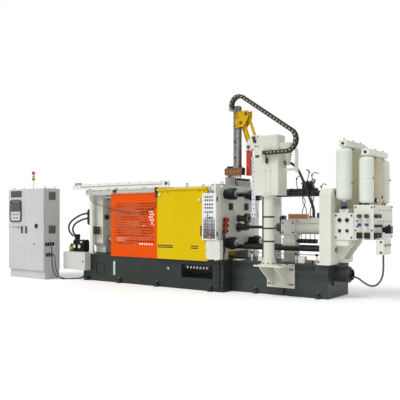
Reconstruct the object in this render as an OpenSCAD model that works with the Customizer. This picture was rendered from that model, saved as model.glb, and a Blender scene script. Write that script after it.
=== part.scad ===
// Cold chamber die casting machine with its spray robot and control cabinet.
// X runs along the machine towards the injection end, Y away from the operator, Z up.
// The origin lies on the floor, under the die face of the fixed platen, on the centre line.

/* [Bed] */
// From the fixed platen's die face to the left end of the clamp bed
clamp_bed_left = 3490; // [3300:10:3700]
// From the fixed platen's die face to the right end of the clamp bed
clamp_bed_right = 490; // [440:10:600]
// Width of the clamp bed
clamp_bed_w = 1560; // [1500:10:1640]
// Height of both beds
bed_h = 620; // [560:10:680]
// Right end of the injection bed
injection_bed_end = 2540; // [2460:10:2640]
// Width of the injection bed
injection_bed_w = 930; // [860:10:1040]
// Height of the slideways on the clamp bed
slideway_h = 20; // [12:2:30]
// Length of the drop-out chute under the dies
chute_l = 790; // [700:10:860]
// Height of the drop-out chute's side mouth
chute_h = 270; // [220:10:300]

/* [Clamp unit] */
// Width of the platens
platen_w = 1300; // [1240:10:1340]
// Height of the platens
platen_h = 1340; // [1280:10:1360]
// Height of the platens' centre above the floor
platen_centre_z = 1450; // [1420:5:1480]
// Thickness of the fixed platen
fixed_platen_t = 340; // [300:10:380]
// Thickness of the moving platen
moving_platen_t = 350; // [300:10:380]
// Die height, from the fixed platen to the moving platen
die_height = 600; // [520:10:640]
// Thickness of the rear platen
rear_platen_t = 320; // [280:10:340]
// Left face of the rear platen, from the origin
rear_platen_x = 3300; // [3240:10:3340]
// Diameter of a tie bar
tie_bar_d = 150; // [130:5:160]
// Distance between tie bars across the machine
tie_bar_pitch_y = 940; // [900:10:980]
// Distance between tie bars up the machine
tie_bar_pitch_z = 980; // [940:10:1000]
// Diameter of a tie bar nut
tie_bar_nut_d = 232; // [220:4:240]
// Corner chamfer of the platens
platen_chamfer = 90; // [60:5:110]
// Diameter of the toggle pins
toggle_pin_d = 90; // [80:2:100]
// Height of the toggle pins above and below the centre
toggle_offset_z = 320; // [300:5:340]
// Diameter of the clamp piston rod
clamp_rod_d = 95; // [80:5:110]

/* [Guards] */
// Top of the guard beams
guard_top_z = 2105; // [2080:5:2120]
// Height of a guard beam
guard_beam_h = 120; // [100:5:130]
// Side of a guard post
guard_post_w = 90; // [70:5:100]
// Left end of the perforated guard, from the origin
mesh_guard_left = 2572; // [2500:4:2600]
// Right end of the perforated guard, from the origin
mesh_guard_right = 1160; // [1150:5:1200]
// Across the flats of a guard hole
guard_hole_w = 26; // [16:2:30]
// Distance between guard holes
guard_hole_pitch = 58; // [50:2:70]
// Width of the sliding door
door_w = 1300; // [1240:10:1320]
// Bottom edge of the sliding door
door_bottom_z = 605; // [600:5:640]
// Height of the sliding door
door_h = 1470; // [1440:5:1475]
// Depth of the sliding door's folded edge
door_depth = 34; // [28:2:36]
// Opening travel of the sliding door
door_travel = 1250; // [1100:10:1260]

/* [Operator panel] */
// Width of the operator panel
panel_w = 336; // [300:4:360]
// Height of the operator panel
panel_h = 920; // [860:10:940]
// Depth of the operator panel
panel_depth = 66; // [50:2:68]
// Bottom edge of the operator panel
panel_bottom_z = 1030; // [1020:5:1040]

/* [Injection unit] */
// Distance of the shot axis below the platens' centre
shot_drop = 175; // [160:5:190]
// Outer diameter of the shot sleeve
sleeve_d = 146; // [130:2:150]
// Bore of the shot sleeve
sleeve_bore_d = 90; // [70:2:100]
// Length of the shot sleeve outside the fixed platen
sleeve_out = 230; // [200:5:260]
// Diameter of the castellated centre flange
centre_flange_d = 206; // [190:2:210]
// Diameter of the injection tie rods
injection_rod_d = 90; // [80:2:100]
// Distance between the injection tie rods across the machine
injection_rod_pitch_y = 560; // [540:5:566]
// Height of the lower injection tie rods
injection_rod_low_z = 885; // [860:5:900]
// Height of the upper injection tie rods
injection_rod_high_z = 1930; // [1880:5:1940]
// Left face of the injection frame
injection_frame_x = 2395; // [2340:5:2400]
// Thickness of the injection frame
injection_frame_t = 220; // [200:5:240]
// Outer diameter of the shot cylinder
shot_cylinder_d = 245; // [230:5:260]
// Stroke of the plunger
plunger_stroke = 540; // [500:10:550]

/* [Accumulators] */
// Diameter of the front nitrogen bottles
front_bottle_d = 282; // [260:2:290]
// Diameter of the end nitrogen bottles
end_bottle_d = 246; // [230:2:250]
// Diameter of the piston accumulators
piston_bottle_d = 200; // [180:2:204]
// Top of the front row
front_row_top_z = 2745; // [2680:5:2800]
// Top of the end row
end_row_top_z = 2570; // [2500:5:2620]

/* [Robot] */
// Diameter of the robot's pillar
pillar_d = 200; // [180:2:210]
// Height of the pillar above its flange plate
pillar_l = 1260; // [1240:5:1280]
// Width of the robot housing
housing_w = 514; // [500:2:520]
// Height of the robot housing
housing_h = 880; // [860:5:890]
// Height of the mast
mast_h = 1165; // [1100:5:1180]
// Width of the main arm
main_arm_w = 96; // [80:2:100]
// Width of the link arm
link_arm_w = 58; // [50:2:60]

/* [Control cabinet] */
// Width of the cabinet
cabinet_w = 1330; // [1300:5:1350]
// Height of the cabinet with its plinth
cabinet_h = 2150; // [2050:10:2200]
// Depth of the cabinet behind its doors
cabinet_depth = 455; // [400:5:480]
// Height of the plinth
plinth_h = 200; // [150:10:220]
// Sheet thickness of the cabinet
cabinet_wall = 3; // [2:0.5:4]
// Thickness of a cabinet door with its folded edge
cabinet_door_t = 23; // [20:1:24]

/* [Hidden] */
$fn = 48;

// Clearances
pin_clearance = 0.3;
seat_gap = 0.3;
running_gap = 12;

// Bed
bed_half_w = clamp_bed_w / 2;
injection_half_w = injection_bed_w / 2;
slideway_w = 150;
slideway_left = rear_platen_x + 60;
platform_z = bed_h + slideway_h;

// Clamp unit
platen_low_z = platen_centre_z - platen_h / 2;
platen_high_z = platen_centre_z + platen_h / 2;
platen_half_w = platen_w / 2;
moving_face_x = -die_height;
moving_back_x = moving_face_x - moving_platen_t;
rear_face_x = -rear_platen_x + rear_platen_t;
tie_bar_left = rear_platen_x + 150;
nut_l = 140;
nut_spacer_l = 90;
tie_bar_right = fixed_platen_t + nut_spacer_l + nut_l + 30;
toggle_lug_l = 150;
toggle_pin_rear_x = rear_face_x + toggle_lug_l - 60;
toggle_pin_front_x = moving_back_x - toggle_lug_l + 60;
toggle_knee_x = (toggle_pin_rear_x + toggle_pin_front_x) / 2 - 60;
toggle_side_y = 250;
link_eye_d = toggle_pin_d + 90;
crosshead_x = toggle_knee_x - 250;
crosshead_w = 120;
short_pin_d = 50;
crosshead_pin_z = 110;
rear_ear_z = 215;
clamp_head_x = rear_platen_x + 340;
clamp_head_l = 360;

// Guards
guard_y = bed_half_w;
mesh_guard_depth = 22;
door_back_y = -(guard_y + mesh_guard_depth + 2 + running_gap + 22);
door_front_y = door_back_y - door_depth;
door_right = 160;
door_left = door_right - door_w;
track_h = 36;
track_top_z = guard_top_z - 50;
roller_d = 40;
sheet = 3;
guard_left = 3420;
guard_right = 150;

// Operator panel
panel_left = 94;
panel_back_y = door_front_y - running_gap;
panel_front_y = panel_back_y - panel_depth;

// Injection unit
shot_z = platen_centre_z - shot_drop;
sleeve_end_x = fixed_platen_t + sleeve_out;
coupling_x = 1360;
coupling_t = 42;
shot_block_x = coupling_x + coupling_t + 20;
shot_block_l = 300;
shot_block_w = 310;
piston_rod_d = 80;
piston_end_x = shot_block_x + plunger_stroke + 120;
injection_frame_end = injection_frame_x + injection_frame_t;

// Accumulators
front_row_x = injection_frame_end + 160;
end_row_x = injection_frame_end + 570;
middle_block_x = injection_frame_end + 375;
end_block_x = injection_frame_end + 725;
end_block_front_y = -385;
terminal_x = end_block_x + 140;
front_row_y = [-300, 120, 500];
end_row_y = [-300, 150, 540];
valve_block_top_z = 1555;
end_block_top_z = 1697;
valve_block_low_z = 1080;

// Robot
pillar_x = 1530;
pillar_y = -820;
flange_t = 28;
flange_top_z = 600;
housing_left = 1289;
housing_front_y = -970;
housing_back_y = -640;
housing_z = flange_top_z + pillar_l + 22;
arm_y = -860;
main_pivot = [1160, 2790];
link_pivot = [1270, 2950];
arm_reach = [-170, 470];
wrist_pivot = main_pivot + arm_reach;
wrist_link_pivot = link_pivot + arm_reach;
arm_pin_d = 40;
arm_seat_x = 1389;
cheek_t = 20;
cheek_gap = 120;
mast_w = 115;
mast_right = 925;
mast_low_z = 2420;

// Drag chain
chain_y = -1030;
chain_h = 66;
chain_w = 90;
chain_wall = 10;
chain_x = 850;
chain_start_z = 3535;
chain_end_z = 2650;
chain_rise = 45;
chain_fall = 34.5;
chain_top_r = 160;
chain_loop_r = 205;
chain_top = [chain_x + chain_top_r, chain_start_z + chain_rise];
chain_slope = chain_top + chain_top_r * [sin(chain_fall), cos(chain_fall)];
chain_loop_z = chain_end_z + chain_loop_r;
chain_slope_l = (chain_slope[1] - chain_loop_z - chain_loop_r * cos(chain_fall)) / sin(chain_fall);
chain_loop = [chain_slope[0] + chain_slope_l * cos(chain_fall) - chain_loop_r * sin(chain_fall), chain_loop_z];
chain_slope_s = chain_rise + chain_top_r * (90 + chain_fall) / 57.2958;
chain_loop_s = chain_slope_s + chain_slope_l;
chain_run_s = chain_loop_s + chain_loop_r * (180 - chain_fall) / 57.2958;
chain_end_x = 1560;
chain_links = round((chain_run_s + chain_loop[0] - chain_end_x) / 75);
chain_pitch = (chain_run_s + chain_loop[0] - chain_end_x) / chain_links;

// Control cabinet
cabinet_left = -5494;
cabinet_right = cabinet_left + cabinet_w;
cabinet_front_y = -1385;
cabinet_back_y = cabinet_front_y + cabinet_depth;
door_split_x = cabinet_left + 614;
hmi_x = cabinet_left + 284;
switch_x = cabinet_left + 1069;
switch_z = 1260;
tower_light_x = cabinet_left + 558;
cabinet_door_gap = 2;
door_face_y = cabinet_front_y - cabinet_door_gap - cabinet_door_t;
hinge_y = cabinet_front_y - cabinet_door_gap - cabinet_door_t / 2;
hinge_r = 7;
hinge_pin_d = 6;
knuckle_l = 38;
hinge_heights = [plinth_h + 160, (plinth_h + cabinet_h) / 2, cabinet_h - 240];
left_hinge_x = cabinet_left - hinge_r - 1;
right_hinge_x = cabinet_right + hinge_r + 1;

// Left end
box_left = -3980;
box_right = -3240;
box_low_z = 240;
box_high_z = 650;
box_front_y = -952;
box_back_y = -790;
box_door_t = 16;
box_hinge_r = 6;
box_hinge_x = box_left - box_hinge_r - 1;
box_hinge_heights = [box_low_z + 50, box_high_z - 130];

// Cords
clamp_hose_d = 44;
clamp_hose_upper_route = [[-3760, -230, 1560], [-3760, -290, 1560], [-3785, -390, 1560], [-3860, -500, 1530],
    [-3970, -600, 1450], [-4060, -670, 1350], [-4100, -700, 1240], [-4071, -705, 1130], [-3990, -705, 1049],
    [-3920, -705, 1020], [-3880, -705, 1020]];
clamp_hose_lower_route = [[-3760, -230, 1440], [-3760, -280, 1440], [-3780, -360, 1440], [-3835, -450, 1420],
    [-3925, -530, 1370], [-4005, -585, 1300], [-4050, -612, 1210], [-4036, -620, 1115], [-3975, -620, 1050],
    [-3915, -620, 1020], [-3880, -620, 1020]];
door_cable_route = [[-3240, -822, 1970], [-3240, -822, 1930], [-3210, -822, 1870], [-3110, -822, 1810],
    [-2850, -822, 1730], [-2500, -822, 1650], [-2150, -822, 1590], [-1800, -822, 1565], [-1520, -822, 1590],
    [-1290, -824, 1680], [-1200, -831, 1770], [-1178, -834, 1840], [-1178, -834, 1880]];
cabinet_black_route = [[-4120, -1280, 830], [-4095, -1280, 830], [-4055, -1279, 805], [-4041, -1277, 755],
    [-4039, -1274, 640], [-4039, -1262, 430], [-4037, -1235, 230], [-3995, -1170, 80], [-3920, -1080, 16],
    [-3820, -970, 12], [-3700, -850, 12], [-3640, -730, 20], [-3612, -640, 60], [-3605, -580, 150],
    [-3590, -545, 250], [-3555, -522, 318], [-3520, -520, 330], [-3490, -520, 330]];
cabinet_blue_route = [[-4120, -1180, 580], [-4095, -1180, 580], [-4055, -1178, 555], [-4041, -1174, 505],
    [-4039, -1165, 400], [-4037, -1140, 230], [-3990, -1080, 70], [-3900, -980, 12], [-3780, -850, 12],
    [-3710, -710, 16], [-3680, -590, 60], [-3665, -500, 140], [-3630, -440, 220], [-3570, -420, 258],
    [-3525, -420, 260], [-3490, -420, 260]];
right_conduit_route = [[2862, -120, 400], [2910, -120, 400], [2990, -140, 375], [3100, -190, 320],
    [3220, -240, 280], [3330, -275, 290], [3415, -290, 360], [3465, -290, 470], [3480, -290, 600],
    [3480, -290, 740], [3480, -290, 840]];
robot_hose_route = [[1820, -700, 2480], [1870, -700, 2480], [1960, -690, 2440], [2040, -640, 2330],
    [2090, -560, 2160], [2110, -430, 1960], [2105, -280, 1800], [2090, -150, 1690], [2075, -85, 1610],
    [2070, -70, 1540], [2070, -70, 1490]];

// Basic shapes

module block(low, high) {
    translate(low) cube(high - low);
}

module bar_x(d, x0, x1, y, z) {
    translate([x0, y, z]) rotate([0, 90, 0]) cylinder(h = x1 - x0, d = d);
}

module bar_y(d, x, y0, y1, z) {
    translate([x, y0, z]) rotate([-90, 0, 0]) cylinder(h = y1 - y0, d = d);
}

module bar_z(d, x, y, z0, z1) {
    translate([x, y, z0]) cylinder(h = z1 - z0, d = d);
}

// Extrudes an outline drawn in Y and Z along X
module slab_x(x0, x1) {
    rotate([90, 0, 90]) translate([0, 0, x0]) linear_extrude(x1 - x0) children();
}

// Extrudes an outline drawn in X and Z along Y
module slab_y(y0, y1) {
    rotate([90, 0, 0]) translate([0, 0, -y1]) linear_extrude(y1 - y0) children();
}

module chamfered(w, h, c) {
    x = w / 2;
    y = h / 2;
    polygon([[-x + c, -y], [x - c, -y], [x, -y + c], [x, y - c], [x - c, y], [-x + c, y], [-x, y - c], [-x, -y + c]]);
}

module rounded(w, h, r) {
    square([w - 2 * r, h], center = true);
    square([w, h - 2 * r], center = true);
    for (x = [-1, 1], y = [-1, 1]) {
        translate([x * (w / 2 - r), y * (h / 2 - r)]) circle(r = r);
    }
}

// A link outline with an eye at each end, drawn from a to b
module link_outline(a, b, eye_d, waist_w) {
    span = b - a;
    translate(a) circle(d = eye_d);
    translate(b) circle(d = eye_d);
    translate(a) rotate(atan2(span[1], span[0])) translate([0, -waist_w / 2]) square([norm(span), waist_w]);
}

// A link with a bore through each eye
module link_bar(a, b, y0, y1, eye_d, waist_w, pin_d) {
    difference() {
        slab_y(y0, y1) link_outline(a, b, eye_d, waist_w);
        for (p = [a, b]) {
            bar_y(pin_d + 2 * pin_clearance, p[0], y0 - 1, y1 + 1, p[1]);
        }
    }
}

// Swept tubes

function unit(v) = v / norm(v);

function smooth_point(a, b, c, d, t) =
    0.5 * (2 * b + (c - a) * t + (2 * a - 5 * b + 4 * c - d) * t * t + (3 * b - a - 3 * c + d) * t * t * t);

function smooth_route(p, steps) = let (n = len(p)) concat(
    [for (i = [0:n - 2], k = [0:steps - 1])
        smooth_point(p[max(i - 1, 0)], p[i], p[i + 1], p[min(i + 2, n - 1)], k / steps)],
    [p[n - 1]]);

function tangents(c) = [for (i = [0:len(c) - 1]) unit(c[min(i + 1, len(c) - 1)] - c[max(i - 1, 0)])];

function first_normal(t) = unit(cross(t, abs(t[2]) < 0.9 ? [0, 0, 1] : [1, 0, 0]));

function carried_normals(t, i, n) = i >= len(t) ? [] :
    let (m = unit(n - (n * t[i]) * t[i])) concat([m], carried_normals(t, i + 1, m));

// A tube swept along a smooth route
module swept_tube(route, d, sides, steps) {
    c = smooth_route(route, steps);
    t = tangents(c);
    n = carried_normals(t, 0, first_normal(t[0]));
    last = len(c) - 1;
    rings = [for (i = [0:last], j = [0:sides - 1])
        let (a = 360 * j / sides) c[i] + d / 2 * (cos(a) * n[i] + sin(a) * cross(t[i], n[i]))];
    walls = [for (i = [0:last - 1], j = [0:sides - 1]) let (k = (j + 1) % sides)
        [i * sides + j, (i + 1) * sides + j, (i + 1) * sides + k, i * sides + k]];
    start_cap = [for (j = [0:sides - 1]) j];
    end_cap = [for (j = [sides - 1:-1:0]) last * sides + j];
    polyhedron(points = rings, faces = concat([start_cap], walls, [end_cap]), convexity = 6);
}

// Beds

module levelling_lugs(x_places, half_w) {
    for (x = x_places, side = [-1, 1]) {
        y = side * (half_w + 25);
        block([x - 45, y - 45, 0], [x + 45, y + 45, 40]);
        bar_z(30, x, y, 0, 110);
        bar_z(54, x, y, 40, 62);
    }
}

module clamp_bed() {
    color("darkslategray") difference() {
        union() {
            block([-clamp_bed_left, -bed_half_w, 0], [clamp_bed_right, bed_half_w, bed_h]);
            block([254, -bed_half_w - 20, 0], [398, -bed_half_w + 1, bed_h]);
            for (side = [-1, 1]) {
                y = side * tie_bar_pitch_y / 2;
                block([-slideway_left, y - slideway_w / 2, bed_h - 1], [-20, y + slideway_w / 2, platform_z]);
            }
            levelling_lugs([-clamp_bed_left + 150, -2300, -1200, clamp_bed_right - 300], bed_half_w);
        }
        block([-560, -bed_half_w - 1, 240], [-560 + chute_l, bed_half_w + 1, 240 + chute_h]);
        block([moving_face_x + 20, -380, 239], [-20, 380, bed_h + 1]);
        for (side = [0, 1]) {
            mirror([0, side, 0]) block([-3070, -bed_half_w - 1, 146], [-2780, -bed_half_w + 14, 430]);
        }
    }
}

module injection_bed() {
    color("darkslategray") difference() {
        union() {
            block([clamp_bed_right, -injection_half_w, 0], [injection_bed_end, injection_half_w, bed_h]);
            for (side = [0, 1]) {
                mirror([0, side, 0]) {
                    for (z = [262, 447]) {
                        block([clamp_bed_right, -injection_half_w - 14, z],
                            [clamp_bed_right + 300, -injection_half_w + 1, z + 14]);
                    }
                    for (z = [350, 415]) {
                        block([1890, -injection_half_w - 14, z],
                            [injection_bed_end, -injection_half_w + 1, z + 14]);
                    }
                }
            }
            levelling_lugs([1050, injection_bed_end - 180], injection_half_w);
        }
        for (side = [0, 1]) {
            mirror([0, side, 0]) block([1631, -injection_half_w - 1, -1], [1715, -injection_half_w + 40, bed_h - 60]);
        }
    }
}

// Clamp unit

module tie_bar_places() {
    for (y = [-1, 1], z = [-1, 1]) {
        translate([0, y * tie_bar_pitch_y / 2, platen_centre_z + z * tie_bar_pitch_z / 2]) children();
    }
}

module tie_bar_bores(x0, x1) {
    tie_bar_places() bar_x(tie_bar_d + 2 * pin_clearance, x0, x1, 0, 0);
}

module platen_body(x0, x1, foot_z) {
    slab_x(x0, x1) translate([0, platen_centre_z]) chamfered(platen_w, platen_h, platen_chamfer);
    for (side = [-1, 1]) {
        y = side * tie_bar_pitch_y / 2;
        block([x0, y - 90, foot_z], [x1, y + 90, platen_low_z + 60]);
    }
}

// Four ears that hold a pair of toggle pins, from a face at x0 to the rounded end at pin_x
module toggle_ears(x0, pin_x) {
    for (z = [-1, 1], side = [-1, 1], edge = [-1, 1]) {
        y = side * toggle_side_y + edge * 125;
        pin_z = platen_centre_z + z * toggle_offset_z;
        low_x = min(x0, pin_x);
        high_x = max(x0, pin_x);
        slab_y(y - 22, y + 22) {
            translate([low_x, pin_z - link_eye_d / 2]) square([high_x - low_x, link_eye_d]);
            translate([pin_x, pin_z]) circle(d = link_eye_d);
        }
    }
}

module toggle_pin_bores(pin_x) {
    for (z = [-1, 1]) {
        bar_y(toggle_pin_d + 2 * pin_clearance, pin_x, -platen_half_w, platen_half_w,
            platen_centre_z + z * toggle_offset_z);
    }
}

module rear_platen() {
    color("gainsboro") difference() {
        union() {
            platen_body(-rear_platen_x, rear_face_x, platform_z);
            toggle_ears(rear_face_x - 1, toggle_pin_rear_x);
        }
        tie_bar_bores(-rear_platen_x - 1, rear_face_x + 1);
        bar_x(clamp_rod_d + 2 * pin_clearance, -rear_platen_x - 1, rear_face_x + 1, 0, platen_centre_z);
        toggle_pin_bores(toggle_pin_rear_x);
    }
}

module moving_platen() {
    color("gainsboro") difference() {
        union() {
            platen_body(moving_back_x, moving_face_x, platform_z);
            toggle_ears(moving_back_x + 1, toggle_pin_front_x);
        }
        tie_bar_bores(moving_back_x - 1, moving_face_x + 1);
        toggle_pin_bores(toggle_pin_front_x);
    }
}

module fixed_platen() {
    color("gainsboro") difference() {
        platen_body(0, fixed_platen_t, bed_h);
        tie_bar_bores(-1, fixed_platen_t + 1);
        bar_x(sleeve_d + 2 * seat_gap, -1, fixed_platen_t + 1, 0, shot_z);
        for (y = [-1, 1]) {
            for (z = [injection_rod_low_z, injection_rod_high_z]) {
                bar_x(injection_rod_d + 2 * pin_clearance, fixed_platen_t - 200, fixed_platen_t + 1,
                    y * injection_rod_pitch_y / 2, z);
            }
        }
    }
}

module tie_bars() {
    color("silver") tie_bar_places() bar_x(tie_bar_d, -tie_bar_left, tie_bar_right, 0, 0);
}

module tie_bar_nut(x0) {
    difference() {
        union() {
            bar_x(tie_bar_nut_d - 30, x0, x0 + nut_spacer_l + 1, 0, 0);
            bar_x(tie_bar_nut_d, x0 + nut_spacer_l, x0 + nut_spacer_l + nut_l, 0, 0);
        }
        bar_x(tie_bar_d + 2 * pin_clearance, x0 - 1, x0 + nut_spacer_l + nut_l + 1, 0, 0);
        for (side = [-1, 1]) {
            block([x0 + nut_spacer_l - 1, side * tie_bar_nut_d / 2 - 8, -5],
                [x0 + nut_spacer_l + nut_l + 1, side * tie_bar_nut_d / 2 + 8, 5]);
        }
    }
}

module tie_bar_nuts() {
    color("dimgray") {
        tie_bar_places() tie_bar_nut(fixed_platen_t);
        tie_bar_places() mirror([1, 0, 0]) adjusting_nut();
    }
}

// The adjusting nut behind the rear platen
module adjusting_nut() {
    difference() {
        bar_x(tie_bar_nut_d, rear_platen_x, rear_platen_x + 110, 0, 0);
        bar_x(tie_bar_d + 2 * pin_clearance, rear_platen_x - 1, rear_platen_x + 111, 0, 0);
    }
}

module toggle_linkage() {
    color("slategray") {
        for (z = [-1, 1]) {
            pin_z = platen_centre_z + z * toggle_offset_z;
            for (x = [toggle_pin_rear_x, toggle_knee_x, toggle_pin_front_x]) {
                bar_y(toggle_pin_d, x, -toggle_side_y - 160, toggle_side_y + 160, pin_z);
            }
            for (side = [-1, 1]) {
                y = side * toggle_side_y;
                rear_link(y, pin_z, z);
                for (edge = [-1, 1]) {
                    link_bar([toggle_knee_x, pin_z], [toggle_pin_front_x, pin_z],
                        y + edge * 70 - 28, y + edge * 70 + 28, link_eye_d, 120, toggle_pin_d);
                }
                link_bar([crosshead_x, platen_centre_z + z * crosshead_pin_z],
                    [crosshead_x, platen_centre_z + z * rear_ear_z], y - 140 * side - 25, y - 140 * side + 25,
                    90, 60, short_pin_d);
            }
            bar_y(short_pin_d, crosshead_x, -toggle_side_y + 60, toggle_side_y - 60,
                platen_centre_z + z * crosshead_pin_z);
            bar_y(short_pin_d, crosshead_x, -toggle_side_y - 60, toggle_side_y + 60,
                platen_centre_z + z * rear_ear_z);
        }
        crosshead();
    }
}

// The rear link with the ear that the short link pulls
module rear_link(y, pin_z, z) {
    ear_z = platen_centre_z + z * rear_ear_z;
    difference() {
        slab_y(y - 38, y + 38) {
            link_outline([toggle_pin_rear_x, pin_z], [toggle_knee_x, pin_z], link_eye_d, 130);
            link_outline([crosshead_x, pin_z], [crosshead_x, ear_z], 100, 100);
        }
        for (x = [toggle_pin_rear_x, toggle_knee_x]) {
            bar_y(toggle_pin_d + 2 * pin_clearance, x, y - 39, y + 39, pin_z);
        }
        bar_y(short_pin_d + 2 * pin_clearance, crosshead_x, y - 39, y + 39, ear_z);
    }
}

// The crosshead between the short links, with the end of the clamp rod
module crosshead() {
    difference() {
        union() {
            block([crosshead_x - 70, -80, platen_centre_z - crosshead_w - 50],
                [crosshead_x + 70, 80, platen_centre_z + crosshead_w + 50]);
            bar_x(clamp_rod_d, -rear_platen_x - 60, crosshead_x - 69, 0, platen_centre_z);
        }
        for (z = [-1, 1]) {
            bar_y(short_pin_d + 2 * pin_clearance, crosshead_x, -81, 81, platen_centre_z + z * crosshead_pin_z);
        }
    }
}

module clamp_cylinder() {
    axis_z = platen_centre_z;
    color("gainsboro") difference() {
        union() {
            bar_x(430, -rear_platen_x - 60, -rear_platen_x, 0, axis_z);
            bar_x(290, -clamp_head_x, -rear_platen_x - 59, 0, axis_z);
            for (a = [45:90:315]) {
                bar_x(34, -clamp_head_x, -rear_platen_x - 59, 172 * cos(a), axis_z + 172 * sin(a));
            }
            slab_x(-clamp_head_x - clamp_head_l, -clamp_head_x + 1)
                translate([0, axis_z + 20]) chamfered(390, 400, 40);
            bar_x(200, -clamp_head_x - clamp_head_l - 30, -clamp_head_x - clamp_head_l + 1, 0, axis_z);
            for (route = [clamp_hose_upper_route, clamp_hose_lower_route]) {
                bar_y(60, route[0][0], route[0][1], -190, route[0][2]);
            }
        }
        bar_x(clamp_rod_d + 2 * pin_clearance, -rear_platen_x - 80, -rear_platen_x + 1, 0, axis_z);
    }
}

// Guards

module guard_posts() {
    color("beige") for (side = [0, 1]) {
        mirror([0, side, 0]) {
            for (x = [-guard_left + 134, -mesh_guard_left, -mesh_guard_right - 40, guard_right - guard_post_w]) {
                block([x, -guard_y, bed_h], [x + guard_post_w, -guard_y + 70, guard_top_z - guard_beam_h]);
            }
        }
    }
}

module guard_beams() {
    color("beige") for (side = [0, 1]) {
        mirror([0, side, 0]) {
            block([-guard_left, -guard_y, guard_top_z - guard_beam_h], [guard_right, -guard_y + 70, guard_top_z]);
            block([-guard_left + 20, -guard_y - 20, track_top_z - track_h],
                [guard_right - 10, -guard_y + 1, track_top_z]);
            block([fixed_platen_t - 40, -guard_y - 50, bed_h], [fixed_platen_t, -platen_half_w, platen_high_z + 20]);
        }
    }
    color("black") cable_clip();
}

// The clip under the front beam where the door's cable starts
module cable_clip() {
    start = door_cable_route[0];
    block([start[0] - 20, start[1] - 14, start[2]], [start[0] + 20, start[1] + 14, track_top_z - track_h - 8]);
    block([start[0] - 20, start[1] - 14, track_top_z - track_h - 24], [start[0] + 20, -guard_y + 1, track_top_z - track_h - 4]);
}

// A pan of folded sheet, open at the back
module sheet_pan(x0, x1, z0, z1, front_y, depth) {
    difference() {
        block([x0, front_y, z0], [x1, front_y + depth, z1]);
        block([x0 + sheet, front_y + sheet, z0 + sheet], [x1 - sheet, front_y + depth + 1, z1 - sheet]);
    }
}

module guard_hole_field(left, right, low, high) {
    columns = floor((right - left) / guard_hole_pitch);
    rows = floor((high - low) / guard_hole_pitch);
    for (i = [0:columns - 1], j = [0:rows - 1]) {
        shift = j % 2 == 0 ? 0.25 : 0.75;
        translate([left + (i + shift) * guard_hole_pitch, low + (j + 0.5) * guard_hole_pitch])
            circle(d = guard_hole_w, $fn = 4);
    }
}

module mesh_guard() {
    front = -guard_y - mesh_guard_depth;
    low = bed_h - 25;
    high = track_top_z - track_h - 24;
    difference() {
        sheet_pan(-mesh_guard_left, -mesh_guard_right, low, high, front, mesh_guard_depth);
        slab_y(front - 1, front + sheet + 1)
            guard_hole_field(-mesh_guard_left + 95, -mesh_guard_right - 170, low + 270, high - 210);
    }
}

module front_mesh_guard() {
    color("orangered") mesh_guard();
}

module rear_mesh_guard() {
    color("orangered") mirror([0, 1, 0]) mesh_guard();
}

module rear_guard_door() {
    color("gold") mirror([0, 1, 0])
        sheet_pan(-mesh_guard_right + 2, guard_right, bed_h - 15, track_top_z - track_h - 2,
            -guard_y - mesh_guard_depth, mesh_guard_depth);
}

module front_door() {
    handle_x = door_right - 149;
    color("gold") {
        difference() {
            union() {
                sheet_pan(door_left, door_right, door_bottom_z, door_bottom_z + door_h, door_front_y, door_depth);
                block([handle_x - 26, door_front_y + 1, 1080], [handle_x + 26, door_front_y + 26, 1320]);
                for (x = [door_left + 130, door_right - 130]) {
                    block([x - 30, door_front_y + 1, track_top_z + 4], [x + 30, door_back_y, track_top_z + 16]);
                    bar_y(roller_d, x, door_front_y + 1, -guard_y - 4, track_top_z + roller_d / 2 + seat_gap);
                }
            }
            block([handle_x - 20, door_front_y - 1, 1090], [handle_x + 20, door_front_y + 20, 1310]);
        }
    }
}

module door_bracket() {
    color("black") difference() {
        union() {
            block([door_left - 60, door_front_y - 6, 1900], [door_left + 26, door_front_y, 2075]);
            block([door_left - 60, door_front_y - 6, 2060], [door_left - 8, door_back_y + 8, 2108]);
            block([door_left - 60, door_front_y - 6, 1900], [door_left - 8, door_back_y + 16, 1914]);
            bar_z(24, -1178, -834, 1880, 1901);
        }
        block([door_left - 50, door_front_y - 7, 1915], [door_left - 20, door_front_y + 1, 1990]);
    }
}

module door_drive() {
    low = guard_top_z + 12;
    high = low + 120;
    back = door_front_y + 38 + seat_gap;
    front = door_front_y - 32;
    color("beige") {
        block([-3516, front, low], [-921, back, high]);
        block([-921, front + 6, low + 8], [-815, back - 6, high - 8]);
        block([-3724, front + 8, low + 4], [-3516, back - 8, high - 14]);
        for (x = [-3300, -2450, -1600]) {
            block([x - 40, back, low + 20], [x + 40, -guard_y + 60, low + 32]);
            block([x - 40, -guard_y + 20, guard_top_z], [x + 40, -guard_y + 60, low + 21]);
        }
    }
}

// Operator panel

module operator_panel() {
    right = panel_left + panel_w;
    top = panel_bottom_z + panel_h;
    color("whitesmoke") {
        difference() {
            block([panel_left, panel_front_y, panel_bottom_z], [right, panel_back_y, top]);
            block([panel_left + 22, panel_front_y - 1, panel_bottom_z + 25],
                [right - 22, panel_front_y + 4, top - 25]);
        }
        for (z = [panel_bottom_z + 120, top - 160]) {
            block([door_right + running_gap, panel_back_y - 1, z], [right - 20, -guard_y - 50, z + 60]);
        }
        bar_y(44, 275, panel_front_y - 26, panel_front_y + 5, panel_bottom_z + 60);
    }
}

module panel_cover() {
    color("beige") difference() {
        block([door_right + running_gap, -935, bed_h + 30], [512, -guard_y - 50, panel_bottom_z - 6]);
        block([door_right + running_gap + 20, -936, bed_h + 60], [492, -931, panel_bottom_z - 40]);
    }
}

// Injection unit

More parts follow.
